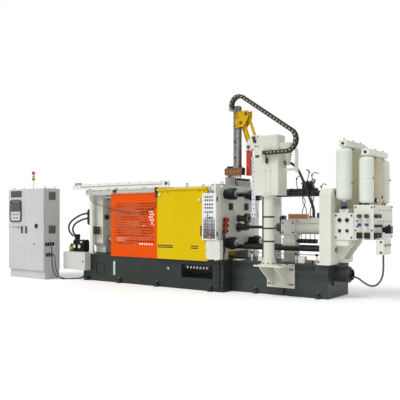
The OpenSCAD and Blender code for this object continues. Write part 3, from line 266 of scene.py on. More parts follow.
@dataclass(frozen=True)
class Finish:
    """What every finish shares: its name and its display colour."""

    name: str
    rgb: Colour

    def material(self) -> bpy.types.Material:
        """The finish as a material, made once."""
        made = bpy.data.materials.get(self.name)
        if made is None:
            graph = Graph(self.name)
            self.paint(graph)
            made = graph.material
        return made

    def paint(self, graph: Graph) -> None:
        """Lay the finish out in a graph."""
        raise NotImplementedError


@dataclass(frozen=True)
class Enamel(Finish):
    """Sprayed machine paint: slightly uneven, with orange peel, chipped edges and floor grime.

    The cast flag gives the coarse skin of a painted casting. A second colour starts at a place
    along an axis where split is given.
    """

    gloss: float = 0.38
    chips: float = 0.0
    grime: float = 0.0
    cast: bool = False
    split: tuple[Axis, float, Colour] | None = None
    shine: float = 0.45

    def paint(self, graph: Graph) -> None:
        """Lay the paint out in a graph."""
        cloud = graph.span(graph.noise(1.7, 4), 0.3, 0.7, 0.0, 1.0)
        base = graph.mix(cloud, linear(self.rgb, 0.95), linear(self.rgb, 1.04))
        if self.split:
            axis, place, other = self.split
            beyond = graph.span(graph.height(axis), place - 0.001, place + 0.001, 0.0, 1.0)
            base = graph.mix(beyond, base, graph.mix(cloud, linear(other, 0.93), linear(other, 1.05)))
        if self.grime:
            patches = graph.span(graph.noise(6, 6), 0.42, 0.72, 0.0, 1.0)
            low = graph.span(graph.height(Axis.Z), 0.0, 0.5, self.grime, 0.25 * self.grime)
            base = graph.mix(graph.math("MULTIPLY", patches, low), base, linear((96, 90, 78)))
        if self.chips:
            worn = graph.math("MULTIPLY", graph.edges(0.006), graph.span(graph.noise(24, 5), 0.5, 0.62, 0, 1))
            base = graph.mix(graph.math("MULTIPLY", worn, self.chips), base, linear((126, 124, 120)))
        graph.colour(base)
        graph.roughness(graph.span(graph.noise(9, 4), 0.3, 0.7, self.gloss - 0.06, self.gloss + 0.08))
        if self.cast:
            graph.bump(graph.noise(70, 5), 0.0016)
        else:
            graph.bump(graph.noise(320, 2), 0.0003)
        graph.set(Specular_IOR_Level=self.shine, Coat_Weight=self.shine / 6, Coat_Roughness=0.22)


@dataclass(frozen=True)
class Steel(Finish):
    """Bare or blackened metal with tool marks along one direction and an oily film."""

    rough: float = 0.3
    metal: float = 1.0
    marks: Point = (1.0, 1.0, 1.0)
    worn: Colour = (150, 150, 148)
    wear: float = 0.5

    def paint(self, graph: Graph) -> None:
        """Lay the metal out in a graph."""
        film = graph.span(graph.noise(5, 5), 0.35, 0.7, 0.0, 1.0)
        lines = graph.noise(60, 3, self.marks)
        base = graph.mix(film, linear(self.rgb, 0.84), linear(self.rgb, 1.06))
        base = graph.mix(graph.math("MULTIPLY", graph.edges(0.003), self.wear), base, linear(self.worn))
        graph.colour(base)
        graph.roughness(
            graph.math("ADD", graph.span(lines, 0.3, 0.7, self.rough - 0.07, self.rough + 0.1),
            graph.math("MULTIPLY", film, 0.06)))
        graph.bump(lines, 0.0002)
        graph.set(Metallic=self.metal)


@dataclass(frozen=True)
class Moulded(Finish):
    """Moulded plastic or rubber with a fine grain, dusty where grain is coarse."""

    rough: float = 0.42
    grain: float = 420.0
    depth: float = 0.0003
    dust: float = 0.1

    def paint(self, graph: Graph) -> None:
        """Lay the plastic out in a graph."""
        cloud = graph.span(graph.noise(14, 5), 0.35, 0.75, 0.0, self.dust)
        graph.colour(graph.mix(cloud, linear(self.rgb), linear((150, 148, 142))))
        graph.roughness(graph.span(graph.noise(30, 3), 0.3, 0.7, self.rough - 0.07, self.rough + 0.1))
        graph.bump(graph.noise(self.grain, 2), self.depth)


@dataclass(frozen=True)
class Lens(Finish):
    """A moulded lamp or button lens: glossy and ribbed inside, its colour lighter on the ribs' crests as
    painted light and darker in their grooves as painted shade.
    """

    glow: float = 0.0

    def paint(self, graph: Graph) -> None:
        """Lay the lens out in a graph."""
        wave = graph.nodes.new("ShaderNodeTexWave")
        wave.inputs["Scale"].default_value = 60
        wave.bands_direction = "Z"
        graph.links.new(graph.place, wave.inputs["Vector"])
        # Painted light on the ribs' crests and painted shade in their grooves.
        graph.colour(graph.mix(wave.outputs["Fac"], linear(self.rgb, 0.8), linear(self.rgb, 1.15)))
        graph.roughness(graph.span(graph.noise(40, 2), 0.3, 0.7, 0.12, 0.24))
        graph.bump(wave.outputs["Fac"], 0.0004)
        graph.set(Coat_Weight=0.6, Coat_Roughness=0.08, Emission_Color=linear(self.rgb),
                  Emission_Strength=self.glow)


@dataclass(frozen=True)
class Screen(Finish):
    """A dark display with faint plain panes behind its glass."""

    pane: Colour = (70, 80, 75)

    def paint(self, graph: Graph) -> None:
        """Lay the display out in a graph."""
        turned = graph.nodes.new("ShaderNodeMapping")
        turned.inputs["Rotation"].default_value = (math.radians(90), 0, 0)
        graph.links.new(graph.place, turned.inputs["Vector"])
        bricks = graph.nodes.new("ShaderNodeTexBrick")
        bricks.offset = 0.0
        for name, value in (
                ("Scale", 1.0), ("Brick Width", 0.11), ("Row Height", 0.052), ("Mortar Size", 0.004)):
            bricks.inputs[name].default_value = value
        bricks.inputs["Color1"].default_value = linear(self.pane, 0.8)
        bricks.inputs["Color2"].default_value = linear(self.pane, 1.1)
        bricks.inputs["Mortar"].default_value = linear(self.rgb)
        graph.links.new(turned.outputs[0], bricks.inputs["Vector"])
        graph.colour(
            graph.mix(graph.span(graph.noise(3, 2), 0.3, 0.7, 0.0, 0.35), bricks.outputs["Color"],
            linear(self.rgb)))
        graph.roughness(graph.span(graph.noise(16, 4), 0.4, 0.7, 0.08, 0.2))
        graph.set(Specular_IOR_Level=0.3, Coat_Weight=0.4, Coat_Roughness=0.08)


# The next two finishes are one bed paint in two tones: the first is darkened as painted shade, the second is
# made lighter as painted light for the injection bed.
SHADED_BED_PAINT = Enamel(
    "bed green enamel", (40, 48, 45), gloss=0.42, chips=0.45, grime=0.16, cast=True, shine=0.25)
LIT_BED_PAINT = Enamel(
    "bed green enamel with painted light", (56, 64, 62), gloss=0.42, chips=0.45, grime=0.16, cast=True, shine=0.25)
CAST_CREAM = Enamel("platen cream enamel", (214, 216, 204), gloss=0.42, chips=0.3, cast=True)
MACHINE_CREAM = Enamel("machine cream enamel", (224, 226, 214), gloss=0.4, chips=0.2)
GUARD_CREAM = Enamel("guard cream enamel", (232, 234, 226), gloss=0.36, chips=0.15)
GUARD_ORANGE = Enamel("guard orange enamel", (236, 84, 0), gloss=0.4, chips=0.1, shine=0.1)
DOOR_YELLOW = Enamel("door yellow enamel", (222, 190, 0), gloss=0.4, chips=0.1, shine=0.1)
ROBOT_YELLOW = Enamel("robot yellow enamel", (214, 170, 4), gloss=0.4, chips=0.35, shine=0.15)
ROBOT_CREAM = Enamel("robot cream enamel", (220, 220, 206), gloss=0.38, chips=0.15)
ROBOT_GREY = Enamel("robot grey enamel", (146, 148, 148), gloss=0.34, chips=0.3)
RAM_RED = Enamel(
    "ram red enamel", (205, 52, 28), gloss=0.34, chips=0.2, split=(Axis.X, 1.112, (214, 222, 230)))
MOTOR_STEEL = Enamel("platen top grey enamel", (150, 152, 150), gloss=0.4, chips=0.2)
SOLENOID_GREEN = Enamel("solenoid green enamel", (34, 66, 54), gloss=0.3)
BRACKET_RED = Enamel("hose bracket red enamel", (208, 66, 36), gloss=0.4)
PANEL_WHITE = Enamel("panel white enamel", (236, 236, 234), gloss=0.3)
CABINET_GREY = Enamel("cabinet grey enamel", (199, 201, 201), gloss=0.4)
BOX_CREAM = Enamel("junction box enamel", (212, 213, 207), gloss=0.4)
BOTTLE_WHITE = Enamel("bottle white enamel", (226, 231, 220), gloss=0.26)
BOTTLE_OLIVE = Enamel("accumulator olive enamel", (196, 190, 160), gloss=0.3)
CLAMP_TWO_TONE = Enamel(
    "clamp cylinder enamel", (40, 42, 43), gloss=0.42, cast=True, split=(Axis.X, -3.642, (214, 216, 204)))
CHROME = Steel("tie bar chrome", (196, 198, 200), rough=0.16, marks=(1, 30, 30), wear=0.0)
GROUND_STEEL = Steel("ground steel", (168, 168, 166), rough=0.3, marks=(2, 1, 24))
LINK_STEEL = Steel("oiled link steel", (120, 121, 120), rough=0.34, marks=(18, 1, 2))
BLACK_STEEL = Steel("blackened steel", (34, 34, 36), rough=0.42, metal=0.55, worn=(92, 92, 92), wear=0.35)
DARK_STEEL = Steel("dark tool steel", (78, 78, 78), rough=0.36, metal=0.8, worn=(140, 138, 134))
COPPER = Steel("copper pipe", (176, 112, 74), rough=0.32, worn=(206, 150, 112))
BRASS = Steel("brass fitting", (190, 160, 92), rough=0.28, worn=(214, 190, 130))
SPRAY_BROWN = Steel("spray manifold bronze", (128, 92, 66), rough=0.4, metal=0.7, worn=(178, 130, 96))
HEAT_PLATE = Enamel("orange brown plate", (184, 118, 66), gloss=0.5)
MOTOR_GREY = Enamel("motor grey enamel", (58, 62, 62), gloss=0.46, chips=0.3, cast=True)
BLACK_RUBBER = Moulded("black rubber hose", (26, 26, 28), rough=0.5, grain=260, depth=0.0006, dust=0.14)
BLUE_CABLE = Moulded("dark blue cable", (38, 60, 92), rough=0.44)
GREY_CONDUIT = Moulded("grey corrugated conduit", (78, 80, 80), rough=0.5)
BLACK_PLASTIC = Moulded("black plastic", (24, 24, 26), rough=0.36)
DARK_RED = Moulded("dark red grip", (64, 14, 18), rough=0.34)
WHITE_PLASTIC = Moulded("white plastic", (232, 233, 232), rough=0.34)
VENT_GREY = Moulded("vent grey plastic", (112, 110, 102), rough=0.45)
GREY_PLASTIC = Moulded("grey key plate", (142, 146, 148), rough=0.4)
CHAIN_PIN = Moulded("pale chain pin", (226, 220, 160), rough=0.4, dust=0.0)
BLUE_PLASTIC = Moulded("blue cap", (34, 84, 170), rough=0.3)
CHARTREUSE = Lens("yellow green oil cup", (188, 200, 36))
LENS_RED = Lens("red lens", (206, 28, 40))
LENS_AMBER = Lens("amber lens", (236, 196, 96))
LENS_WHITE = Lens("white lens", (230, 232, 226))
LENS_GREEN = Lens("green lens", (20, 158, 116))
DISPLAY = Screen("cabinet display", (30, 36, 38))
GAUGE_GLASS = Lens("sight glass", (196, 226, 214))
DIAL_WHITE = Moulded("gauge dial", (238, 238, 236), rough=0.3, depth=0.0001, dust=0.04)
RIBBON_BLACK = Enamel("black stripe paint", (22, 22, 24), gloss=0.34)


def smooth_route(points: Sequence[Point], steps: int) -> list[Vector]:
    """Points on a smooth curve through the given ones.

    Args:
        points: The points that the curve passes.
        steps: How many pieces each span is cut into.

    Returns:
        The curve's points, the last one included.
    """
    knots = [Vector(p) for p in points]
    last = len(knots) - 1
    curve = []
    for i in range(last):
        a, b = knots[max(i - 1, 0)], knots[i]
        c, d = knots[i + 1], knots[min(i + 2, last)]
        for k in range(steps):
            t = k / steps
            curve.append(0.5 * (2 * b + (c - a) * t + (2 * a - 5 * b + 4 * c - d) * t * t
                                + (3 * b - a - 3 * c + d) * t * t * t))
    return curve + [knots[-1]]


class Workpiece:
    """Solids gathered into one mesh; each takes the finish that was in use when it was added."""

    def __init__(self, name: str, finish: Finish) -> None:
        """Start an empty piece.

        Args:
            name: The piece's name in the scene.
            finish: The finish of the first solids.
        """
        self.name = name
        self.finishes = [finish]
        self.current = 0
        self.vertices: list[Vector] = []
        self.faces: list[list[int]] = []
        self.marks: list[int] = []

    def use(self, finish: Finish) -> Workpiece:
        """Take another finish for the solids that follow."""
        if finish not in self.finishes:
            self.finishes.append(finish)
        self.current = self.finishes.index(finish)
        return self

    def add(self, vertices: Iterable[Vector], faces: Iterable[Sequence[int]]) -> Workpiece:
        """Add a solid by its corners and faces."""
        start = len(self.vertices)
        self.vertices.extend(vertices)
        for face in faces:
            self.faces.append([start + i for i in face])
            self.marks.append(self.current)
        return self

    def _bevelled(self, shape: bmesh.types.BMesh, bevel: float, segments: int) -> Workpiece:
        """Round a small mesh's sharp edges and add it.

        Args:
            shape: The mesh, which is freed afterwards.
            bevel: The width of the edge chamfer, or 0 for none.
            segments: How many facets round the edge.

        Returns:
            The piece itself.
        """
        if bevel:
            sharp = [e for e in shape.edges if e.calc_face_angle(0) > SMOOTH_ANGLE]
            bmesh.ops.bevel(shape, geom=sharp, offset=bevel, segments=segments, profile=0.5,
                            affect="EDGES", clamp_overlap=True)
        shape.verts.index_update()
        self.add([v.co.copy() for v in shape.verts], [[v.index for v in f.verts] for f in shape.faces])
        shape.free()
        return self

    def box(self, low: Point, high: Point, bevel: float = 0.003, segments: int = 1) -> Workpiece:
        """Add a block with softened edges.

        Args:
            low: Its lowest corner.
            high: Its highest corner.
            bevel: The width of its edge chamfer.
            segments: How many facets round the edge.

        Returns:
            The piece itself.
        """
        shape = bmesh.new()
        size = Vector(high) - Vector(low)
        centre = (Vector(high) + Vector(low)) / 2
        bmesh.ops.create_cube(
            shape, size=1.0, matrix=Matrix.Translation(centre) @ Matrix.Diagonal((*size, 1)))
        return self._bevelled(shape, min(bevel, 0.45 * min(size)), segments)

    def plate(self, outline: Outline, axis: Axis, low: float, high: float, bevel: float = 0.002) -> Workpiece:
        """Add an outline extruded along an axis.

        Args:
            outline: Points in the other two axes, in the order X, Y, Z.
            axis: The direction of extrusion.
            low: Where the plate starts on that axis.
            high: Where it ends.
            bevel: The width of its edge chamfer.

        Returns:
            The piece itself.
        """
        shape = bmesh.new()

        def corner(point: tuple[float, float], level: float) -> Vector:
            """The outline's point lifted to a level along the plate's axis."""
            values = list(point)
            values.insert(axis.value, level)
            return Vector(values)

        bottom = [shape.verts.new(corner(p, low)) for p in outline]
        top = [shape.verts.new(corner(p, high)) for p in outline]
        shape.faces.new(bottom[::-1])
        shape.faces.new(top)
        count = len(outline)
        for i in range(count):
            k = (i + 1) % count
            shape.faces.new((bottom[i], bottom[k], top[k], top[i]))
        bmesh.ops.recalc_face_normals(shape, faces=shape.faces)
        return self._bevelled(shape, bevel, 1)

    def turned(self, start: Point, direction: Vector, profile: Outline, sides: int = 24) -> Workpiece:
        """Add a turned solid.

        Args:
            start: The point on the axis where the profile's distances begin.
            direction: The way the axis points.
            profile: Distance along the axis and radius, point by point.
            sides: How many faces go round.

        Returns:
            The piece itself.
        """
        axis = direction.normalized()
        across = axis.orthogonal().normalized()
        up = axis.cross(across)
        vertices, faces = [], []
        for distance, radius in profile:
            centre = Vector(start) + axis * distance
            for j in range(sides):
                angle = math.tau * j / sides
                vertices.append(
                    centre + (across * math.cos(angle) + up * math.sin(angle)) * max(radius, 1e-5))
        for i in range(len(profile) - 1):
            for j in range(sides):
                k = (j + 1) % sides
                faces.append((i * sides + j, i * sides + k, (i + 1) * sides + k, (i + 1) * sides + j))
        faces.append(list(range(sides))[::-1])
        faces.append([(len(profile) - 1) * sides + j for j in range(sides)])
        return self.add(vertices, faces)

    def rod(
            self, start: Point, end: Point, diameter: float, sides: int = 20,
            bevel: float = 0.0015) -> Workpiece:
        """Add a round bar between two points, with chamfered ends.

        Args:
            start: The centre of its first end.
            end: The centre of its second end.
            diameter: Its diameter.
            sides: How many faces go round.
            bevel: The width of the end chamfers.

        Returns:
            The piece itself.
        """
        run = Vector(end) - Vector(start)
        length, radius = run.length, diameter / 2
        soft = min(bevel, 0.3 * radius, 0.3 * length)
        profile = [(0, radius - soft), (soft, radius), (length - soft, radius), (length, radius - soft)]
        return self.turned(start, run, profile, sides)

    def tube(self, points: Sequence[Vector], diameter: float, sides: int = 12, rib: float = 0.0) -> Workpiece:
        """Add a tube along a run of points.

        Args:
            points: The tube's centreline.
            diameter: Its outer diameter.
            sides: How many faces go round.
            rib: How much thinner every second ring is, as on a corrugated hose.

        Returns:
            The piece itself.
        """
        line = [Vector(p) for p in points]
        last = len(line) - 1
        normal = (line[1] - line[0]).orthogonal().normalized()
        vertices, faces = [], []
        for i, centre in enumerate(line):
            along = (line[min(i + 1, last)] - line[max(i - 1, 0)]).normalized()
            normal = (normal - along * normal.dot(along)).normalized()
            across = along.cross(normal)
            radius = diameter / 2 * (1 - rib * (i % 2))
            for j in range(sides):
                angle = math.tau * j / sides
                vertices.append(centre + (normal * math.cos(angle) + across * math.sin(angle)) * radius)
        for i in range(last):
            for j in range(sides):
                k = (j + 1) % sides
                faces.append((i * sides + j, i * sides + k, (i + 1) * sides + k, (i + 1) * sides + j))
        faces.append(list(range(sides))[::-1])
        faces.append([last * sides + j for j in range(sides)])
        return self.add(vertices, faces)

    def hose(self, points: Sequence[Point], diameter: float, steps: int = 6, sides: int = 12) -> Workpiece:
        """Add a hose along a smooth curve through some points."""
        return self.tube(smooth_route(points, steps), diameter, sides)

    def bolts(
            self, places: Iterable[Point], direction: Vector, across: float,
            sides: int = HEXAGON) -> Workpiece:
        """Add bolt heads on washers.

        Args:
            places: The points where the washers sit.
            direction: The way the heads point.
            across: The width of a head.
            sides: HEXAGON, or CAP_SCREW or SMALL_SCREW for a round head.

        Returns:
            The piece itself.
        """
        radius = across / 2
        for place in places:
            self.turned(place, direction, [(0, radius * 1.35), (radius * 0.22, radius * 1.35)], 16)
            self.turned(
                place, direction, [(radius * 0.2, radius), (radius * 1.2, radius),
                (radius * 1.4, radius * 0.8)], sides)
        return self

    def put(self, body: Body | None, replaces: Sequence[str] = ()) -> bpy.types.Object:
        """Make the piece an object that rides on a body.

        Args:
            body: The body that carries it, or None for a piece that rides on no body.
            replaces: The CAD nodes that it stands for.

        Returns:
            The object.
        """
        mesh = bpy.data.meshes.new(self.name)
        mesh.from_pydata(self.vertices, [], self.faces)
        shape = bmesh.new()
        shape.from_mesh(mesh)
        bmesh.ops.recalc_face_normals(shape, faces=shape.faces)
        shape.to_mesh(mesh)
        shape.free()
        for finish in self.finishes:
            mesh.materials.append(finish.material())
        mesh.polygons.foreach_set("material_index", self.marks)
        mesh.polygons.foreach_set("use_smooth", [True] * len(self.faces))
        mesh.set_sharp_from_angle(angle=SMOOTH_ANGLE)
        mesh.update()
        piece = bpy.data.objects.new(self.name, mesh)
        bpy.context.scene.collection.objects.link(piece)
        if body:
            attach(piece, body.value)
        if replaces:
            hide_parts(*replaces)
        log.info("piece %s: %d faces", self.name, len(self.faces))
        return piece


@dataclass
class Stage:
    """The camera, the lamps, the floor and the backdrop."""

    eye: Point = (6.89, -10.27, 1.52)
    look: tuple[float, float] = (-0.592, 0.806)
    focal_px: float = 584.0
    image_px: float = 400.0
    horizon_px: float = 215.0
    sensor: float = 36.0
    floor_half: float = 60.0
    sky: float = 0.62
    sun: float = 1.55
    sun_from: Point = (-0.25, -0.75, 1.0)

    def build(self) -> None:
        """Make the camera first, then the light and the floor."""
        self.camera()
        self.world()
        self.lamp()
        self.floor()

    def camera(self) -> None:
        """Stand the camera where the machine was photographed from."""
        data = bpy.data.cameras.new("camera")
        data.sensor_width = self.sensor
        data.lens = self.focal_px / self.image_px * self.sensor
        data.shift_y = (self.horizon_px - self.image_px / 2) / self.image_px
        data.clip_end = 200
        eye = bpy.data.objects.new("camera", data)
        eye.location = self.eye
        eye.rotation_euler = Vector((*self.look, 0)).to_track_quat("-Z", "Y").to_euler()
        bpy.context.scene.collection.objects.link(eye)
        bpy.context.scene.camera = eye

    def world(self) -> None:
        """A soft grey light with a white backdrop for the camera, mirrors and glass."""
        world = bpy.data.worlds.new("studio")
        bpy.context.scene.world = world
        world.use_nodes = True
        nodes, links = world.node_tree.nodes, world.node_tree.links
        paths = nodes.new("ShaderNodeLightPath")
        seen = nodes.new("ShaderNodeMath")
        seen.operation = "MAXIMUM"
        links.new(paths.outputs["Is Camera Ray"], seen.inputs[0])
        links.new(paths.outputs["Is Transmission Ray"], seen.inputs[1])
        mirrored = nodes.new("ShaderNodeMath")
        mirrored.operation = "MAXIMUM"
        links.new(seen.outputs[0], mirrored.inputs[0])
        links.new(paths.outputs["Is Glossy Ray"], mirrored.inputs[1])
        strength = nodes.new("ShaderNodeMapRange")
        strength.inputs["To Min"].default_value = self.sky
        strength.inputs["To Max"].default_value = 1.0
        links.new(mirrored.outputs[0], strength.inputs["Value"])
        background = nodes["Background"]
        background.inputs["Color"].default_value = (1, 1, 1, 1)
        links.new(strength.outputs["Result"], background.inputs["Strength"])

    def lamp(self) -> None:
        """One broad soft lamp from the front and above."""
        data = bpy.data.lights.new("soft_lamp", "SUN")
        data.energy = self.sun
        data.angle = math.radians(28)
        lamp = bpy.data.objects.new("soft_lamp", data)
        lamp.rotation_euler = Vector(self.sun_from).to_track_quat("Z", "Y").to_euler()
        bpy.context.scene.collection.objects.link(lamp)

    def floor(self) -> None:
        """A pale floor that keeps the machine's shadow."""
        half = self.floor_half
        mesh = bpy.data.meshes.new("floor")
        mesh.from_pydata(
            [(-half, -half, 0), (half, -half, 0), (half, half, 0), (-half, half, 0)], [], [(0, 1, 2, 3)])
        graph = Graph("pale floor")
        graph.colour(graph.mix(graph.noise(0.6, 2), (0.86, 0.86, 0.86, 1), (0.88, 0.88, 0.88, 1)))
        graph.set(Roughness=0.9, Specular_IOR_Level=0.1)
        paths = graph.nodes.new("ShaderNodeLightPath")
        seen = graph.math("MAXIMUM", paths.outputs["Is Camera Ray"], paths.outputs["Is Glossy Ray"])
        graph.links.new(graph.math("MULTIPLY", seen, 0.2), graph.shader.inputs["Emission Strength"])
        graph.set(Emission_Color=(1, 1, 1, 1))
        mesh.materials.append(graph.material)
        floor = bpy.data.objects.new("floor", mesh)
        bpy.context.scene.collection.objects.link(floor)


@dataclass
class FreeCord:
    """One hose or cable between two fixings, with the points of its route."""

    node: str
    route: Sequence[Point]
    diameter: float
    finish: Finish
    slot: str
    stiffness: str = "stiff"
    lay: str = "hanging"
    ribbed: bool = False

    def build(self) -> bpy.types.Object:
        """Returns:
            The cord's object.
        """
        steps = 14 if self.ribbed else 7
        line = smooth_route(self.route, steps)
        piece = Workpiece(f"{self.node}_smooth", self.finish)
        piece.tube(line, self.diameter, 16, 0.12 if self.ribbed else 0.0)
        moves = self.node == "door_cable"
        made = piece.put(None if moves else Body.FRAME, [self.node])
        if moves:
            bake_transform(made)
        return made


@dataclass
class Cords:
    """Every free hose and cable of the machine."""

    cords: Sequence[FreeCord] = (
        FreeCord("clamp_hose_upper", (
            (-3.76, -0.23, 1.56), (-3.76, -0.29, 1.56), (-3.785, -0.39, 1.56), (-3.86, -0.5, 1.53),
            (-3.97, -0.6, 1.45), (-4.06, -0.67, 1.35), (-4.1, -0.7, 1.24), (-4.071, -0.705, 1.13),
            (-3.99, -0.705, 1.049), (-3.92, -0.705, 1.02), (-3.88, -0.705, 1.02)),
            0.044, BLACK_RUBBER, "black_rubber"),
        FreeCord("clamp_hose_lower", (
            (-3.76, -0.23, 1.44), (-3.76, -0.28, 1.44), (-3.78, -0.36, 1.44), (-3.835, -0.45, 1.42),
            (-3.925, -0.53, 1.37), (-4.005, -0.585, 1.3), (-4.05, -0.612, 1.21), (-4.036, -0.62, 1.115),
            (-3.975, -0.62, 1.05), (-3.915, -0.62, 1.02), (-3.88, -0.62, 1.02)),
            0.044, BLACK_RUBBER, "black_rubber"),
        FreeCord("door_cable", (
            (-3.24, -0.822, 1.97), (-3.24, -0.822, 1.93), (-3.21, -0.822, 1.87), (-3.11, -0.822, 1.81),
            (-2.85, -0.822, 1.73), (-2.5, -0.822, 1.65), (-2.15, -0.822, 1.59), (-1.8, -0.822, 1.565),
            (-1.52, -0.822, 1.59), (-1.29, -0.824, 1.68), (-1.2, -0.831, 1.77), (-1.178, -0.834, 1.84),
            (-1.178, -0.834, 1.88)), 0.014, BLACK_RUBBER,
            "black_rubber", "medium"),
        FreeCord("cabinet_cable_black", (
            (-4.12, -1.28, 0.83), (-4.095, -1.28, 0.83), (-4.055, -1.279, 0.805), (-4.041, -1.277, 0.755),
            (-4.039, -1.274, 0.64), (-4.039, -1.262, 0.43), (-4.037, -1.235, 0.23), (-3.995, -1.17, 0.08),
            (-3.92, -1.08, 0.016), (-3.82, -0.97, 0.012), (-3.7, -0.85, 0.012), (-3.64, -0.73, 0.02),
            (-3.612, -0.64, 0.06), (-3.605, -0.58, 0.15), (-3.59, -0.545, 0.25), (-3.555, -0.522, 0.318),
            (-3.52, -0.52, 0.33), (-3.49, -0.52, 0.33)),
            0.022, BLACK_RUBBER, "black_rubber", "medium", "loose"),
        FreeCord("cabinet_cable_blue", (
            (-4.12, -1.18, 0.58), (-4.095, -1.18, 0.58), (-4.055, -1.178, 0.555), (-4.041, -1.174, 0.505),
            (-4.039, -1.165, 0.4), (-4.037, -1.14, 0.23), (-3.99, -1.08, 0.07), (-3.9, -0.98, 0.012),
            (-3.78, -0.85, 0.012), (-3.71, -0.71, 0.016), (-3.68, -0.59, 0.06), (-3.665, -0.5, 0.14),
            (-3.63, -0.44, 0.22), (-3.57, -0.42, 0.258), (-3.525, -0.42, 0.26), (-3.49, -0.42, 0.26)),
            0.02, BLUE_CABLE, "blue_rubber", "medium", "loose"),
        FreeCord("right_conduit", (
            (2.862, -0.12, 0.4), (2.91, -0.12, 0.4), (2.99, -0.14, 0.375), (3.1, -0.19, 0.32),
            (3.22, -0.24, 0.28), (3.33, -0.275, 0.29), (3.415, -0.29, 0.36), (3.465, -0.29, 0.47),
            (3.48, -0.29, 0.6), (3.48, -0.29, 0.74), (3.48, -0.29, 0.84)),
            0.036, GREY_CONDUIT, "black_rubber", ribbed=True),
        FreeCord("robot_hose", (
            (1.82, -0.7, 2.48), (1.87, -0.7, 2.48), (1.96, -0.69, 2.44), (2.04, -0.64, 2.33),
            (2.09, -0.56, 2.16), (2.11, -0.43, 1.96), (2.105, -0.28, 1.8), (2.09, -0.15, 1.69),
            (2.075, -0.085, 1.61), (2.07, -0.07, 1.54), (2.07, -0.07, 1.49)),
            0.05, BLACK_RUBBER, "black_rubber", ribbed=True),
    )

    def build(self) -> None:
        """Make every cord."""
        for cord in self.cords:
            made = cord.build()
            log.info("cord %s", made.name)


@dataclass
class NodeFinishes:
    """The finish of each CAD node that stays in view."""

    finishes: dict[str, Finish] = field(default_factory=lambda: {
        # The two beds take the darker and the lighter copy of one paint: painted shade and painted light.
        "clamp_bed": SHADED_BED_PAINT, "injection_bed": LIT_BED_PAINT,
        "rear_platen": CAST_CREAM, "moving_platen": CAST_CREAM, "fixed_platen": CAST_CREAM,
        "tie_bars": CHROME, "tie_bar_nuts": BLACK_STEEL, "toggle_linkage": LINK_STEEL,
        "clamp_cylinder": CLAMP_TWO_TONE, "guard_posts": GUARD_CREAM, "guard_beams": GUARD_CREAM,
        "front_mesh_guard": GUARD_ORANGE, "rear_mesh_guard": GUARD_ORANGE,
        "rear_guard_door": DOOR_YELLOW, "front_door": DOOR_YELLOW, "door_bracket": BLACK_STEEL,
        "door_drive": GUARD_CREAM, "operator_panel": PANEL_WHITE, "panel_cover": MACHINE_CREAM,
        "centre_flange": DARK_STEEL, "shot_sleeve": DARK_STEEL, "shot_cylinder": MACHINE_CREAM,
        "plunger_rod": DARK_STEEL, "injection_tie_rods": BLACK_STEEL, "injection_frame": MACHINE_CREAM,
        "valve_blocks": MACHINE_CREAM, "nitrogen_bottles": BOTTLE_WHITE,
        "piston_accumulators": BOTTLE_OLIVE, "accumulator_headers": MACHINE_CREAM,
        "valve_fittings": BLACK_STEEL, "terminal_box": MACHINE_CREAM, "pump_motor": MOTOR_GREY,
        "robot_stand": ROBOT_CREAM, "robot_housing": ROBOT_CREAM, "robot_arm_base": ROBOT_CREAM,
        "robot_rams": RAM_RED, "drag_chain": BLACK_PLASTIC, "robot_main_arm": ROBOT_YELLOW,
        "robot_link_arm": ROBOT_YELLOW, "robot_wrist": ROBOT_YELLOW, "robot_mast": ROBOT_GREY,
        "spray_head": SPRAY_BROWN, "cabinet_shell": CABINET_GREY, "cabinet_door_left": CABINET_GREY,
        "cabinet_door_right": CABINET_GREY, "main_switch": BLACK_PLASTIC,
        "cable_connectors": BLACK_PLASTIC, "tower_light": LENS_RED, "junction_box": BOX_CREAM,
        "junction_box_door": BOX_CREAM, "left_manifold": BLACK_STEEL,
    })

    def build(self, nodes: dict[str, bpy.types.Object]) -> None:
        """Give each node its finish.

        Args:
            nodes: The CAD nodes by name.
        """
        for name, finish in self.finishes.items():
            slots = nodes[name].data.materials
            slots.clear()
            slots.append(finish.material())
        bare = sorted(set(nodes) - set(self.finishes))
        log.info("nodes without a finish of their own: %s", bare)


LEFT, RIGHT = Vector((-1, 0, 0)), Vector((1, 0, 0))
FRONT, BACK = Vector((0, -1, 0)), Vector((0, 1, 0))
UP, DOWN = Vector((0, 0, 1)), Vector((0, 0, -1))


def ring(centre: tuple[float, float], radius: float, count: int, start: float = 45.0) -> list[
        tuple[float, float]]:
    """Places evenly round a circle.

    Args:
        centre: The circle's centre in a plane.
        radius: Its radius.
        count: How many places there are.
        start: The first place's angle in degrees.

    Returns:
        The places in the same plane.
    """
    angles = [math.radians(start + 360 * i / count) for i in range(count)]
    return [(centre[0] + radius * math.cos(a), centre[1] + radius * math.sin(a)) for a in angles]


def grid(*sides: float | Sequence[float]) -> list[Point]:
    """Every place that takes one of the given values along X, along Y and along Z."""
    return list(product(*(side if isinstance(side, Sequence) else (side,) for side in sides)))


def spread(low: float, high: float, count: int) -> list[float]:
    """Evenly spread numbers, both ends included."""
    return [low + (high - low) * i / (count - 1) for i in range(count)]


